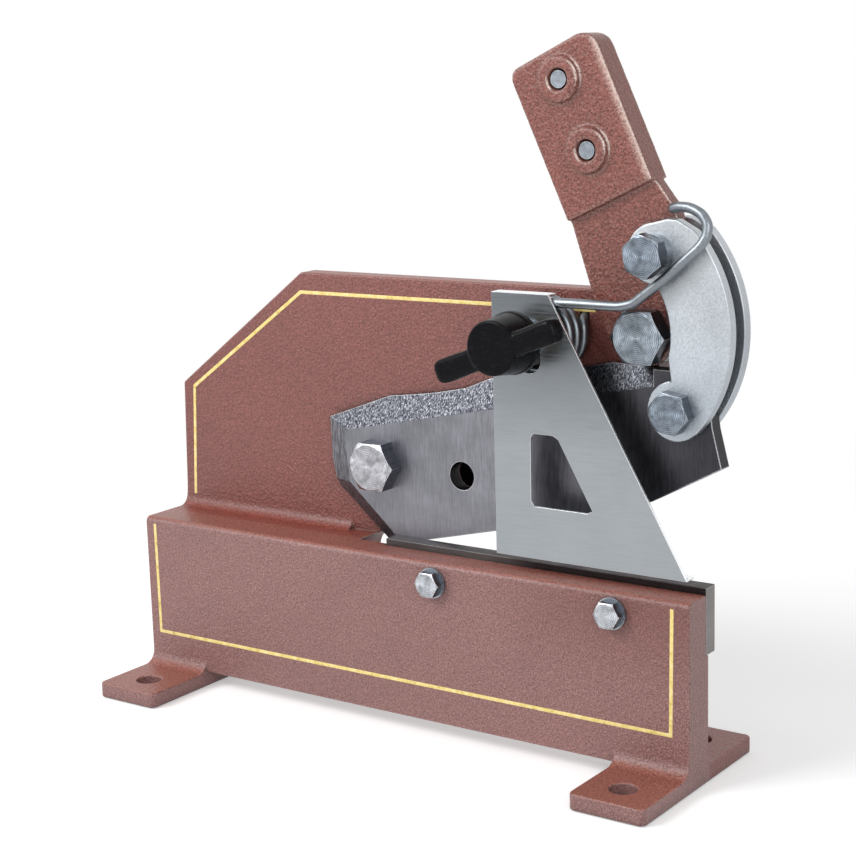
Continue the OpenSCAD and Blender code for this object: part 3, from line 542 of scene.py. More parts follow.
# %% Blade steel
def two_grind_steel(name):
    """Brushed flat, hatched slopes and ends painted dark as shade, told apart by the mesh's own
    normal.
    """
    material, tree, shader = start_material(name, (0.26, 0.26, 0.29), 1.0, 0.38)
    brush = noise(tree, place_pattern(tree, (1500, 1500, 90), turn=(0, 0.22, 0)), 1.0, 5.0, 0.6)
    hatch, counter = [
        noise(tree, place_pattern(tree, (1500, 1500, 160), turn=(0, turn, 0)), 1.0, 5.0, 0.7)
        for turn in (-0.8, 0.9)]
    blots = noise(tree, place_pattern(tree), 34.0, 5.0, 0.65)
    facing = own(tree, "Normal")
    turned_away = rise(tree, facing["Y"], -0.985, -0.96)
    still_front = fall(tree, facing["Y"], -0.86, -0.80)
    slope = product(tree, turned_away, still_front)

    # Painted shade: the flat darkens towards the cutting end.
    shade_to_the_end = rise(tree, own(tree, "Object")["X"], 0.055, 0.165)
    flat_tone = ramp(tree, blots, [(0.30, (0.20, 0.20, 0.225)), (0.68, (0.31, 0.31, 0.345))])
    flat_tone = shaded(tree, flat_tone, 1.0, shade_to_the_end,
                       [(0.0, WHITE), (0.45, grey(0.45)), (1.0, (0.20, 0.20, 0.21))])
    flat_tone = shaded(tree, flat_tone, 0.5, brush, [(0.38, grey(0.55)), (0.6, WHITE)])

    # The hatch itself is the grinding; the slopes' dark tone is painted shade and their pale
    # flecks are painted glints.
    slope_tone = ramp(tree, hatch, [(0.40, (0.030, 0.032, 0.040)), (0.50, (0.085, 0.088, 0.105)),
                                    (0.64, (0.34, 0.35, 0.38))])
    slope_tone = shaded(tree, slope_tone, 0.8, counter,
                        [(0.42, (0.25, 0.25, 0.27)), (0.56, WHITE)])
    # Painted light: slopes that look left are painted lighter.
    painted_light_left = spread(tree, facing["X"], 0.0, 0.8, -0.15, -0.28)
    slope_tone = blended(tree, "MIX", painted_light_left, slope_tone,
                         ramp(tree, hatch, [(0.40, (0.10, 0.10, 0.115)),
                                            (0.62, (0.30, 0.30, 0.33))]))

    tone = blended(tree, "MIX", slope, flat_tone, slope_tone)
    # Painted shade: the end faces are painted near black.
    shaded_end_face = spread(tree, facing["Y"], 0.0, 0.9, -0.60, -0.50)
    tone = blended(tree, "MIX", shaded_end_face, tone, (0.030, 0.030, 0.034))
    # Painted highlight: a pale line along the edges.
    rim = product(tree, edge_mask(tree, 0.0006, 0.004, 0.05), 0.75)
    tone = blended(tree, "MIX", rim, tone, (0.88, 0.89, 0.92))
    # Painted shade: the bar hole is painted black.
    tone = blended(tree, "MIX", inside_bore(tree, BAR_HOLE, 7.15), tone, (0.010, 0.010, 0.011))
    fill(tree, shader, {"Base Color": tone,
                        "Roughness": spread(tree, brush, 0.30, 0.50, 0.3, 0.7)})
    scratches = bump(tree, shader, brush, 0.4, 0.00005)
    bump(tree, shader, product(tree, hatch, slope), 0.6, 0.0002, scratches)
    return material


blade_steel = two_grind_steel("blade_steel")
print("blade's finish", blade_steel.name)

# %% [markdown]
# ## Turned heads
# A lathe leaves rings on a bolt's face, and rings throw light in a bow tie: bright where the
# rings run square to the lamp, dark between. The shader does that when it is told which way
# the rings run, so the tangent is worked out as the turn about the bolt's own axis.

# %% Plated bolts
RINGS_PER_METRE = 0.314 / 0.0009


def plated_bolt(name, middle, colour):
    """Bright zinc with lathe rings about the bolt's own axis, which runs along Y."""
    material, tree, shader = start_material(name, colour, 1.0, 0.34)
    where = about_axis(tree, middle)
    rings = made(tree, "TexWave", {"Vector": where, "Scale": RINGS_PER_METRE, "Distortion": 1.2,
                                   "Detail": 2.0, "Detail Scale": 0.4},
                 wave_type="RINGS", rings_direction="SPHERICAL").outputs["Fac"]
    around = vector_math(tree, "CROSS_PRODUCT", where, (0.0, 1.0, 0.0))["Vector"]
    turned = made(tree, "VectorTransform", {"Vector": around}, vector_type="VECTOR",
                  convert_from="OBJECT", convert_to="WORLD").outputs["Vector"]
    clouds = noise(tree, place_pattern(tree), 260.0, 5.0, 0.65)
    low = tuple(part * 0.72 for part in colour)
    high = tuple(min(1.0, part * 1.5) for part in colour)
    tone = ramp(tree, clouds, [(0.36, low), (0.66, high)])
    tone = shaded(tree, tone, 0.7, rings, [(0.1, (0.40, 0.40, 0.42)), (0.6, WHITE)])
    # Painted shade: faces that look sideways, such as the flats, are painted dark.
    side = spread(tree, own(tree, "Normal")["Y"], 0.0, 0.85, -0.75, -0.3)
    tone = blended(tree, "MIX", side, tone, (0.085, 0.095, 0.115))
    # Painted highlight: a pale line along the edges.
    rim = product(tree, edge_mask(tree, 0.0005), 0.7)
    tone = blended(tree, "MIX", rim, tone, (0.84, 0.88, 0.92))
    fill(tree, shader, {"Base Color": tone, "Tangent": turned, "Anisotropic": 0.85,
                        "Roughness": spread(tree, clouds, 0.26, 0.44, 0.3, 0.7)})
    bump(tree, shader, rings, 0.45, 0.00008)
    return material


# %% [markdown]
# ## Moulded plastic
# The knob is black plastic with a fine grain. Fingers have polished its edges, so the shine
# follows the edge mask.

# %% Knob plastic
knob_plastic, tree, shader = start_material("knob_plastic", (0.004, 0.004, 0.005), 0.0, 0.30)
grain = noise(tree, place_pattern(tree), 1300.0, 3.0)
scuffs = noise(tree, place_pattern(tree, (300, 300, 900)), 1.0, 4.0, 0.7)
polished = edge_mask(tree, 0.0008, 0.02, 0.3)
worn_black = ramp(tree, scuffs, [(0.5, (0.003, 0.003, 0.004)), (0.8, (0.012, 0.012, 0.014))])
fill(tree, shader, {"Base Color": worn_black,
                    "Roughness": spread(tree, grain, 0.20, 0.34, 0.3, 0.7),
                    "Specular IOR Level": spread(tree, polished, 0.09, 0.9)})
bump(tree, shader, grain, 0.2, 0.00006)
print("knob's finish", knob_plastic.name)

# %% [markdown]
# ## The lever's cast socket
# The lever is cast iron, and sand cannot hold a sharp edge. A copy of its CAD mesh is rebuilt
# from small cubes (a voxel remesh) and smoothed a few times, which rounds every edge and
# fills every inner corner a little, just as the foundry does.

# %% Soft cast copies
LEVER_VOXEL = 0.00075
LEVER_ROUNDS = 9


def merged_copy(node, name):
    """A copy of a CAD node's mesh, its loose triangles joined and its material taken off."""
    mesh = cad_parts[node].data.copy()
    mesh.name = name
    mesh.materials.clear()
    work = bmesh.new()
    work.from_mesh(mesh)
    bmesh.ops.remove_doubles(work, verts=work.verts, dist=MERGE_DISTANCE)
    bmesh.ops.recalc_face_normals(work, faces=work.faces)
    work.to_mesh(mesh)
    work.free()
    return linked(name, mesh)


def baked(piece):
    """The piece with its modifiers worked into its mesh."""
    graph = bpy.context.evaluated_depsgraph_get()
    mesh = bpy.data.meshes.new_from_object(piece.evaluated_get(graph))
    piece.modifiers.clear()
    piece.data = mesh
    return piece


def remeshed(piece, voxel, rounds):
    """The piece rebuilt from small cubes, then smoothed for some rounds."""
    cubes = piece.modifiers.new("cubes", "REMESH")
    cubes.mode = "VOXEL"
    cubes.voxel_size = voxel
    cubes.use_smooth_shade = True
    soften = piece.modifiers.new("soften", "SMOOTH")
    soften.factor = 0.5
    soften.iterations = rounds
    baked(piece)
    print(piece.name, "has", len(piece.data.polygons), "faces")
    return piece


cast_lever = remeshed(merged_copy("lever", "soft_lever"), LEVER_VOXEL, LEVER_ROUNDS)
settle(cast_lever, "lever", "lever")
cast_lever.data.materials.append(lever_paint)

# %% [markdown]
# ## Cut plates
# The blades, the links and the guard are cut from plate, so their faces stay flat and their
# edges are only broken with a file. A narrow bevel on a cleaned copy of each CAD node does
# that, and weighted normals keep the flat faces flat under it. A face with a hole in it is
# hard to bevel, so it is first cut in two along a line through its holes, which can't be
# seen. Inner corners stay as they are, and so do hole rims that hide under a bolt's head.

# %% Plates with broken edges
FLATNESS_DEGREES = 0.4
SNAP = 0.0001
RIM_REACH = 0.0075


def broken_edges(node, name, body, width, material, cuts, limit=32, crease=40, segments=2,
                 sharp_holes=()):
    """A merged copy of a node whose outer edges carry a narrow bevel; limits in degrees."""
    piece = merged_copy(node, name)
    work = bmesh.new()
    work.from_mesh(piece.data)
    bmesh.ops.dissolve_limit(work, angle_limit=math.radians(FLATNESS_DEGREES),
                             verts=work.verts, edges=work.edges)
    for x in placed([(cut, 0.0, 0.0) for cut in cuts])[:, 0]:
        everything = work.verts[:] + work.edges[:] + work.faces[:]
        bmesh.ops.bisect_plane(work, geom=everything, dist=SNAP, plane_co=(x, 0, 0),
                               plane_no=(1, 0, 0))
    layer = work.edges.layers.float.new("bevel_weight_edge")
    hole_middles = [placed((x, 0.0, z)) for x, z in sharp_holes]
    for edge in work.edges:
        if edge.is_manifold and edge.is_convex:
            edge[layer] = float(edge.calc_face_angle() > math.radians(limit))
        start = edge.verts[0].co
        for x, _, z in hole_middles:
            if math.hypot(start.x - x, start.z - z) < RIM_REACH:
                edge[layer] = 0.0
    work.to_mesh(piece.data)
    work.free()
    bevel = piece.modifiers.new("broken_edge", "BEVEL")
    bevel.width = width
    bevel.segments = segments
    bevel.limit_method = "WEIGHT"
    bevel.use_clamp_overlap = False
    baked(piece)
    piece.data.shade_smooth()
    piece.data.set_sharp_from_angle(angle=math.radians(crease))
    weighted = piece.modifiers.new("flat_faces", "WEIGHTED_NORMAL")
    weighted.keep_sharp = True
    baked(piece)
    piece.data.materials.append(material)
    settle(piece, body, node)
    print(name, "has", len(piece.data.polygons), "faces")
    return piece


broken_edges("upper_blade", "ground_upper_blade", "blade", 0.0003, blade_steel,
             [BLADE_PIVOT[0], BAR_HOLE[0], LINK_BOTTOM[0]], limit=15, crease=12)
broken_edges("lower_blade", "ground_lower_blade", "stand", 0.00035, lower_blade_steel,
             [190.5, 290.5],
             sharp_holes=[(190.5, 80.0), (290.5, 80.0)])
for link in ("front_link", "rear_link"):
    broken_edges(link, "blanked_" + link, "links", 0.0008, link_steel,
                 [LINK_TOP[0], LINK_BOTTOM[0]], sharp_holes=[LINK_TOP, LINK_BOTTOM])
broken_edges("guard_plate", "bent_guard", "guard", 0.0003, guard_zinc, [246.0])

# %% [markdown]
# ## The stand
# The stand is one casting as well, but its faces were rough machined before painting, so
# its edges are crisper than the lever's. It is bevelled like the plates, only wider.

# %% The stand's edges
broken_edges("frame_casting", "painted_casting", "stand", 0.0009, frame_paint,
             [20.0, 142.0, 190.5, 243.0, 257.9, 290.5, 310.0], segments=3)

# %% [markdown]
# ## Bolts and nuts
# A hexagon head is a lathe part with six flats: its face is turned, and a 30 degree cone cuts
# its corners and leaves a curved line on each flat. One surface gives it all: for each angle
# round the axis, the hexagon's own radius says how deep the cone reaches.

# %% The bolt surface
ANGLES = np.linspace(0.0, 2.0 * np.pi, 96, endpoint=False)
FLATS_PER_SIZE = 1.5
FACE_SHARE = 0.95
CONE_SLOPE = math.sqrt(3.0)
THREAD_DEPTH = 0.3
CHAMFER = 0.6
BOLT_CREASE = 24.0


def hexagon_radius(angle, flats, turn):
    """Half the flats over the cosine of the angle to the nearest flat's middle."""
    nearest = (angle - turn + np.pi / 6) % (np.pi / 3) - np.pi / 6
    return flats / 2 / np.cos(nearest)


def ring(radius, depth):
    """One row of the surface: a radius and a depth for every angle."""
    ones = np.ones_like(ANGLES)
    return np.stack([radius * ones, depth * ones], axis=-1)


def head_rows(front, height, size, turn):
    """Rows of a hexagon head: turned face, cone, flats, from the front to the back."""
    flats = size * FLATS_PER_SIZE
    edge = flats / 2 * FACE_SHARE
    hexagon = hexagon_radius(ANGLES, flats, turn + np.pi / 6)
    reach = (hexagon - edge) / CONE_SLOPE
    rows = [ring(0.0, front), ring(edge * 0.5, front), ring(edge * 0.97, front)]
    for share in np.linspace(0.04, 1.0, 4):
        rows.append(np.stack([edge + reach * share * CONE_SLOPE, front + reach * share], -1))
    rows.append(ring(hexagon, front + height))
    return rows


def thread_rows(radius, start, end, pitch):
    """Rows of a screw thread: the radius dips with depth over pitch less angle."""
    depths = np.arange(start, end, pitch / 6.0)
    phase = (depths[:, None] / pitch - ANGLES[None, :] / (2 * np.pi)) % 1.0
    dip = THREAD_DEPTH * pitch * (1.0 - np.abs(2.0 * phase - 1.0))
    return [np.stack([radius - dip[k], np.full_like(ANGLES, depths[k])], -1)
            for k in range(len(depths))]


def turned_grid(rows, middle):
    """Rows of radius and depth, carried round an axis along Y through the middle."""
    table = np.stack(rows)
    radius, depth = table[..., 0], table[..., 1]
    return np.stack([middle[0] + radius * np.cos(ANGLES), depth,
                     middle[1] + radius * np.sin(ANGLES)], axis=-1)


def bolt_grid(middle, head_front, head_back, tip, size, turn=0.0, thread_from=None, pitch=None):
    """A whole bolt: head, underside, shank, thread and rounded tip in one closed grid."""
    rows = head_rows(head_front, head_back - head_front, size, math.radians(turn))
    rows.append(ring(size / 2, head_back))
    if thread_from is not None:
        rows.append(ring(size / 2, thread_from))
        rows += thread_rows(size / 2, thread_from, tip - 1.2, pitch)
    rows += [ring(size / 2, tip - 1.0), ring(size / 2 - 1.0, tip), ring(0.0, tip)]
    return turned_grid(rows, middle)


def nut_grid(middle, front, height, size):
    """A nut: a head mirrored front to back with the bolt's hole through it."""
    rows = head_rows(0.0, height, size, 0.0)[2:]
    back = front + height
    flipped = [np.stack([row[:, 0], back - row[:, 1]], -1) for row in rows]
    flipped += [ring(size / 2 + CHAMFER, front), ring(size / 2, front + CHAMFER),
                ring(size / 2, back - CHAMFER), ring(size / 2 + CHAMFER, back), flipped[0]]
    return turned_grid(flipped, middle)


def fastener(name, body, node, grid, middle, colour=(0.21, 0.245, 0.29)):
    """One mesh piece from a grid, plated and put on its body."""
    piece = mesh_piece(name, *joined_grids([grid]), crease_degrees=BOLT_CREASE)
    piece.data.materials.append(plated_bolt(name + "_zinc", middle, colour))
    settle(piece, body, node)
    return piece


print("a bolt's surface has", len(ANGLES), "points round")

# %% [markdown]
# ## The four big bolts
# Two M16 bolts carry the blade and the lever, and two M12 bolts hold the links. Each has its
# head at the front and its nut at the back.

# %% The pivot bolts and their nuts
PLATE_BACK = 45.4
LINK_NUT = {"front": 39.3, "height": 9.6, "size": 12.0}
# The same plating gets a lighter colour on some bolts and a darker one on others, as painted light
# and shade.
for word, middle, colour in (("blade", BLADE_PIVOT, (0.45, 0.45, 0.48)),
                             ("lever", LEVER_PIVOT, (0.27, 0.31, 0.35))):
    fastener(word + "_bolt_turned", "stand", word + "_pivot_bolt",
             bolt_grid(middle, 15.08, 25.0, PLATE_BACK + 16.8, 16.0, 0.0, 50.0, 2.0), middle,
             colour)
    fastener(word + "_nut_turned", "stand", word + "_pivot_nut",
             nut_grid(middle, PLATE_BACK + 2.56, 12.8, 16.0), middle)

fastener("top_link_bolt_turned", "links", "link_top_bolt",
         bolt_grid(LINK_TOP, 6.06, 13.5, 51.3, 12.0, -20.7, 42.0, 1.75), LINK_TOP)
fastener("bottom_link_bolt_turned", "links", "link_bottom_bolt",
         bolt_grid(LINK_BOTTOM, 11.46, 18.9, 51.3, 12.0, -10.0, 42.0, 1.75), LINK_BOTTOM)
for word, middle in (("top", LINK_TOP), ("bottom", LINK_BOTTOM)):
    fastener(word + "_link_nut_turned", "links", "link_" + word + "_nut",
             nut_grid(middle, **LINK_NUT), middle)
print("four bolts and four nuts")

# %% [markdown]
# ## The small bolts
# Two M8 bolts hold the lower blade against the wall. They are one CAD node, so they are one
# piece here too, with a finish for each half of its faces, because each head's rings turn
# about its own middle.

# %% The small bolts in the wall
BLADE_BOLTS = [(190.49, 80.01), (290.49, 80.01)]
small = [bolt_grid(place, -6.23, -1.28, 24.6, 7.99) for place in BLADE_BOLTS]
wall_bolts = mesh_piece("wall_bolts_turned", *joined_grids(small), crease_degrees=BOLT_CREASE)
# These bolts' lighter plating colour is painted light.
for word, place in zip(("left", "right"), BLADE_BOLTS):
    wall_bolts.data.materials.append(
        plated_bolt(word + "_wall_bolt_zinc", place, (0.46, 0.48, 0.51)))
face_count = len(wall_bolts.data.polygons)
on_right_bolt = np.arange(face_count) >= face_count // 2
wall_bolts.data.polygons.foreach_set("material_index", on_right_bolt.astype(np.int32))
settle(wall_bolts, "stand", "lower_blade_bolts")
print("two wall bolts with", face_count, "faces")

# %% [markdown]
# ## The wing knob
# A moulded knob is a round hub with two ears. The hub is a profile turned about the stud's
# axis; the ears are one superellipse carried along a line and drawn in at both ends. A voxel
# remesh melts the two together, which gives the fillets that a mould has.

# %% Wing knob
KNOB_TILT = math.radians(21.0)
KNOB_DROP = 2.0
KNOB_VOXEL = 0.00045
KNOB_ROUNDS = 2
HUB_PROFILE = [(0.0, -24.5), (11.6, -24.5), (12.4, -24.2), (12.7, -23.5), (13.6, -14.0),
               (14.1, -8.3), (14.6, -7.9), (14.6, -4.5), (14.2, -4.0), (0.0, -4.0)]


def knob_bar(half_length, half_width, half_depth, depth_middle):
    """A superellipse of power 4 carried along the ears, drawn in by power 3 at each end."""
    along = np.sin(np.linspace(-np.pi / 2, np.pi / 2, 61)) * half_length
    left_over = np.clip((np.abs(along) - (half_length - half_width)) / half_width, 0.0, 1.0)
    swell = np.clip(1.0 - left_over**3, 0.0, 1.0) ** (1.0 / 3.0)
    waist = 0.93 + 0.07 * np.clip(np.abs(along) / 26.0, 0.0, 1.0) ** 2
    power = 2.0 / 4.0
    side = np.sign(np.cos(ANGLES)) * np.abs(np.cos(ANGLES)) ** power
    front = np.sign(np.sin(ANGLES)) * np.abs(np.sin(ANGLES)) ** power
    across = half_width * (swell * waist)[:, None] * side[None, :] - KNOB_DROP
    thickness = half_depth * (0.35 + 0.65 * swell) * np.where(swell > 1e-6, 1.0, 0.0)
    deep = depth_middle + thickness[:, None] * front[None, :]
    length = along[:, None] * np.ones_like(across)
    x = GUARD_STUD[0] + length * math.cos(KNOB_TILT) - across * math.sin(KNOB_TILT)
    z = GUARD_STUD[1] + length * math.sin(KNOB_TILT) + across * math.cos(KNOB_TILT)
    return np.stack([x, deep, z], axis=-1)


hub = turned_grid([ring(radius, depth) for radius, depth in HUB_PROFILE], GUARD_STUD)
ears = knob_bar(half_length=34.6, half_width=5.75, half_depth=4.8, depth_middle=-19.1)
knob = remeshed(mesh_piece("moulded_knob", *joined_grids([hub, ears])), KNOB_VOXEL, KNOB_ROUNDS)
knob.data.shade_smooth()
knob.data.materials.append(knob_plastic)
settle(knob, "knob", "wing_knob")

# %% [markdown]
# ## The hook spring
# One wire winds round the sleeve, leaves the coil at the top, runs up beside the lever and
# hooks over into it. Its path is a list of places, evened out by a running average, with a
# circle carried along it. One fixed direction, which the wire never runs along, keeps the
# tube from twisting. The wire's mesh is baked where it lies.

# %% Hook spring
WIRE_RADIUS = 2.3
COIL_RADIUS = 16.6
COIL_PITCH = 6.55
ARM_DEPTH = 12.1
ARM_REACH = 70.3
ARM_RISE = 33.4
WIRE_STEP = 0.5
WIRE_BLUR = 1.6
coil_turn = np.radians(np.linspace(1098.0, 90.0, 300))
coil_depth = ARM_DEPTH + COIL_PITCH * (np.degrees(coil_turn) - 90.0) / 360.0
coil = np.stack([GUARD_STUD[0] + COIL_RADIUS * np.cos(coil_turn), coil_depth,
                 GUARD_STUD[1] + COIL_RADIUS * np.sin(coil_turn)], axis=-1)
arm_shares = np.array([
    [0.190, 0, 0.2385], [0.345, 0.001, 0.2400], [0.555, 0.003, 0.2390], [0.655, 0.005, 0.2395],
    [0.745, 0.010, 0.2600], [0.842, 0.017, 0.3330], [0.950, 0.023, 0.4130],
    [1.100, 0.032, 0.5430], [1.200, 0.072, 0.6330], [1.240, 0.117, 0.6970],
    [1.243, 0.147, 0.7720], [1.192, 0.177, 0.8350],
    [1.105, 0.210, 0.8700], [1.020, 0.240, 0.8740], [0.960, 0.265, 0.8600]])
arm = (np.array([GUARD_STUD[0], ARM_DEPTH, GUARD_STUD[1]])
       + arm_shares * [ARM_REACH, ARM_RISE, ARM_REACH])
tail = np.array([[257.9, 38.0, 210.3], [257.9, 33.4, 210.3]])
tip = arm[-1] + np.array([[0.0, 1.6, 0.0], [0.0, 25.0 - arm[-1][1], 0.0]])
way = np.concatenate([tail, coil, arm, tip])


def evened(path, step, blur):
    """The path resampled at even steps and smoothed by a Gaussian, with its ends kept."""
    reach = np.concatenate([[0.0], np.cumsum(np.linalg.norm(np.diff(path, axis=0), axis=1))])
    even = np.arange(0.0, reach[-1], step)
    dense = np.stack([np.interp(even, reach, path[:, k]) for k in range(3)], axis=-1)
    width = int(round(3 * blur / step))
    weight = np.exp(-0.5 * (np.arange(-width, width + 1) * step / blur) ** 2)
    weight /= weight.sum()
    before = 2 * dense[0] - dense[width:0:-1]
    after = 2 * dense[-1] - dense[-2:-width - 2:-1]
    padded = np.concatenate([before, dense, after])
    return np.stack([np.convolve(padded[:, k], weight, "valid") for k in range(3)], axis=-1)


def tube_grid(path, radius, steer):
    """A circle carried along a path, square to it, with both ends rounded and closed."""
    tangent = np.gradient(path, axis=0)
    tangent /= np.linalg.norm(tangent, axis=1, keepdims=True)
    first = np.cross(tangent, np.asarray(steer, dtype=float))
    first /= np.linalg.norm(first, axis=1, keepdims=True)
    second = np.cross(tangent, first)
    angle = np.linspace(0.0, 2.0 * np.pi, 24, endpoint=False)
    size = np.full(len(path), radius)
    size[[0, -1]] = 0.0
    size[[1, -2]] = radius * 0.75
    swept = (np.cos(angle)[None, :, None] * first[:, None, :]
             + np.sin(angle)[None, :, None] * second[:, None, :])
    return path[:, None, :] + size[:, None, None] * swept


wire_path = evened(way, WIRE_STEP, WIRE_BLUR)
wire_tube = tube_grid(wire_path, WIRE_RADIUS, steer=(0.5, 0.7, 0.5))
spring = mesh_piece("bent_hook_spring", *joined_grids([wire_tube]))
spring.data.materials.append(spring_steel)
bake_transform(spring)
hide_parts("hook_spring")
print("wire of", round(WIRE_STEP * len(wire_path)), "mm")

# %% [markdown]
# ## The painted lines
# Two thin yellow lines run round the stand: one on the front of the base and one on the
# plate. A lining brush leaves a stroke about two millimetres wide that is thicker in the
# middle, so each line is a low arch carried along a path with mitred corners.

# %% Painted lines
LINE_WIDTH = 1.8
LINE_HEIGHT = 0.10
LINE_SUNK = 0.05


def lined(name, corners, depth):
    """A low arch carried along corners in X and Z at one depth, mitred at each corner."""
    corners = np.asarray(corners, dtype=float)
    step = np.diff(corners, axis=0)
    step /= np.linalg.norm(step, axis=1, keepdims=True)
    side = np.stack([-step[:, 1], step[:, 0]], axis=-1)
    miter = np.concatenate([side[:1], side[:-1] + side[1:], side[-1:]])
    miter /= np.linalg.norm(miter, axis=1, keepdims=True)
    lengthen = np.concatenate([[1.0], 1.0 / np.sum(miter[1:-1] * side[1:], axis=1), [1.0]])
    across = np.array([-1.0, -0.7, 0.0, 0.7, 1.0]) * LINE_WIDTH / 2
    lift = np.array([0.0, 0.8, 1.0, 0.8, 0.0]) * LINE_HEIGHT
    flat = corners[:, None, :] + across[None, :, None] * (miter * lengthen[:, None])[:, None, :]
    arch = np.broadcast_to(depth - lift, flat.shape[:2])
    sunk = np.full(flat.shape[:2], depth + LINE_SUNK)
    tube = np.concatenate([np.stack([flat[..., 0], arch, flat[..., 1]], -1),
                           np.stack([flat[:, ::-1, 0], sunk, flat[:, ::-1, 1]], -1)], axis=1)
    first = np.repeat(tube[:1].mean(axis=1, keepdims=True), tube.shape[1], axis=1)
    last = np.repeat(tube[-1:].mean(axis=1, keepdims=True), tube.shape[1], axis=1)
    piece = mesh_piece(name, *joined_grids([np.concatenate([first, tube, last])]))
    piece.data.materials.append(stripe_paint)
    settle(piece, "stand")


lined("base_line", [(6.6, 86.5), (6.9, 26.2), (320.5, 26.8), (321.2, 86.5)], 0.0)
lined("plate_line", [(6.9, 96.6), (10.3, 157.3), (87.8, 212.9), (264.0, 213.3)], 33.4)
print("lines painted")

# %% [markdown]
# ## Everything else that came with the model
# Washers, bushes, the clamp bolts, the stud with its nut and the sleeve have the right shape
# already. They keep their own meshes and only take a finish.

# %% Finishes for the nodes that stay
plain_zinc = worked_steel("bolt_zinc", (0.30, 0.33, 0.37), roughness=0.30, grain=(500, 500, 500),
                          grain_depth=0.00004, cloud=0.15, edge_highlight=0.5)
KEPT = [
    (plain_zinc, ["lower_blade_washers", "blade_pivot_washer", "lever_pivot_washer",
                  "link_top_collar", "hold_down_stud", "stud_washer", "stud_nut",
                  "guard_washer", "handle_clamp_bolts"]),
    (sleeve_steel, ["spring_sleeve"]),
    (bush_bronze, ["blade_pivot_bush", "lever_pivot_bush", "lever_link_bush", "knob_insert"]),
]
for material, kept_nodes in KEPT:
    for node in kept_nodes:
        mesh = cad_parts[node].data
        mesh.materials.clear()
        mesh.materials.append(material)
print("kept nodes", sum(len(kept_nodes) for _, kept_nodes in KEPT))

# %% [markdown]
# ## The camera
# The picture was taken from the front right, a little above the machine. The numbers come
# from lining up the machine's own corners with their places in the picture.

# %% Camera
AZIMUTH, ELEVATION, ROLL = np.radians([35.614, 11.446, -1.648])
FILM_SIZE = 36.0
FOCAL_LENGTH = 78.88
CAMERA_SPOT = placed((702.463, -714.84, 334.759))

back = np.array([math.sin(AZIMUTH) * math.cos(ELEVATION),
                 -math.cos(AZIMUTH) * math.cos(ELEVATION), math.sin(ELEVATION)])
right = np.array([math.cos(AZIMUTH), math.sin(AZIMUTH), 0.0])
upward = np.cross(back, right)
lens = bpy.data.cameras.new("bench_camera")
lens.sensor_width = lens.sensor_height = FILM_SIZE
lens.sensor_fit = "HORIZONTAL"
lens.lens = FOCAL_LENGTH
lens.clip_start = 0.05
lens.clip_end = 20.0
camera = linked("bench_camera", lens)
columns = np.eye(4)
columns[:3, 0] = math.cos(ROLL) * right + math.sin(ROLL) * upward
columns[:3, 1] = -math.sin(ROLL) * right + math.cos(ROLL) * upward
columns[:3, 2] = back
columns[:3, 3] = CAMERA_SPOT
camera.matrix_world = Matrix(columns.tolist())
bpy.context.scene.camera = camera
print("camera at", CAMERA_SPOT)

# %% [markdown]
# ## The floor
# The machine stands on a wide pale sheet. Near it the sheet is plain paint and holds the
# soft shadow; further out it turns into white light, so it runs into the background. Only
# rays that see the background get this light: straight from the camera, or mirrored.

# %% Floor
FLOOR_HALF = 3.0
FLOOR_LEVEL = -0.0004
FLOOR_LIFT = 0.34
SHADOW_REACH = (0.35, 0.75)
PALE = grey(0.86)


def background_ray(tree):
    """1 for rays straight from the camera, mirrored or sent through."""
    path = made(tree, "LightPath")
    seen = path.outputs["Is Camera Ray"]
    for word in ("Is Glossy Ray", "Is Transmission Ray"):
        seen = made(tree, "Math", {0: seen, 1: path.outputs[word]}, operation="MAXIMUM").outputs[0]
    return seen


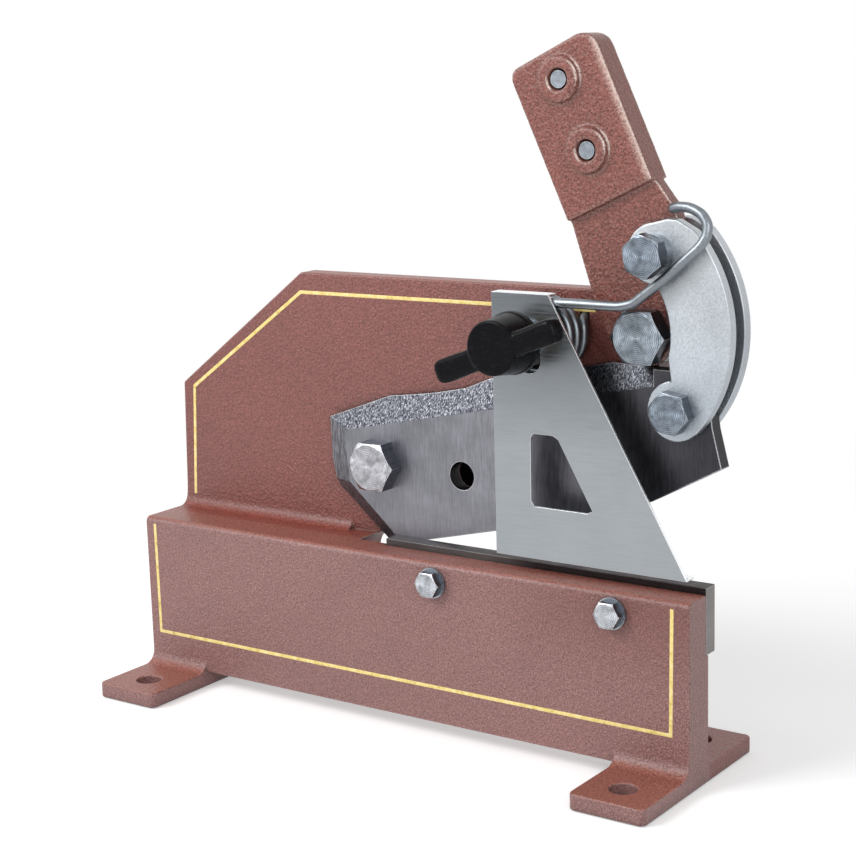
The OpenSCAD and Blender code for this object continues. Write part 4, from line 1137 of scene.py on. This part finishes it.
floor_mesh = bpy.data.meshes.new("pale_floor")
floor_mesh.from_pydata([(x * FLOOR_HALF, y * FLOOR_HALF, FLOOR_LEVEL)
                        for x, y in ((-1, -1), (1, -1), (1, 1), (-1, 1))], [], [(0, 1, 2, 3)])
floor = linked("pale_floor", floor_mesh)

floor_paint, tree, shader = start_material("floor_paint", PALE, 0.0, 0.9)
fill(tree, shader, {"Specular IOR Level": 0.0})
middle_out = vector_math(tree, "LENGTH", made(tree, "TexCoord").outputs["Object"])["Value"]
far = rise(tree, middle_out, *SHADOW_REACH)
lift = made(tree, "Emission", {"Strength": product(tree, background_ray(tree), FLOOR_LIFT)})
lifted = made(tree, "AddShader", {0: shader.outputs[0], 1: lift.outputs[0]})
open_floor = made(tree, "MixShader", {0: product(tree, background_ray(tree), far),
                                      1: lifted.outputs[0],
                                      2: made(tree, "Emission").outputs[0]})
fill(tree, tree.nodes["Material Output"], {"Surface": open_floor.outputs[0]})
floor_mesh.materials.append(floor_paint)
print("floor", 2 * FLOOR_HALF, "m wide")

# %% [markdown]
# ## The light
# One large soft lamp stands high on the left and a weaker one on the right, and the pale
# room fills the rest. Where a ray sees the background itself, the room is white paper.

# %% World and lamps
ROOM_LIGHT = 0.5

world = bpy.data.worlds.new("pale_room")
bpy.context.scene.world = world
world.use_nodes = True
tree = world.node_tree
room = tree.nodes["Background"]
fill(tree, room, {"Color": WHITE, "Strength": ROOM_LIGHT})
paper = made(tree, "Background", {"Color": WHITE})
choose = made(tree, "MixShader", {0: background_ray(tree), 1: room.outputs[0],
                                  2: paper.outputs[0]})
fill(tree, tree.nodes["World Output"], {"Surface": choose.outputs[0]})


def softbox(name, place, target, size, power):
    """A square lamp at a place in metres that faces a target."""
    lamp = bpy.data.lights.new(name, "AREA")
    lamp.shape = "SQUARE"
    lamp.size = size
    lamp.energy = power
    holder = linked(name, lamp)
    aim = Vector(target) - Vector(place)
    holder.rotation_euler = aim.to_track_quat("-Z", "Y").to_euler()
    holder.location = place


softbox("left_softbox", (-0.9, -1.3, 1.3), (0, 0, 0.12), size=1.0, power=26)
softbox("right_softbox", (1.35, -1.1, 0.85), (0.05, 0, 0.15), size=0.7, power=8)
bpy.context.scene.view_settings.view_transform = "Standard"
print("lamps", len(bpy.data.lights))
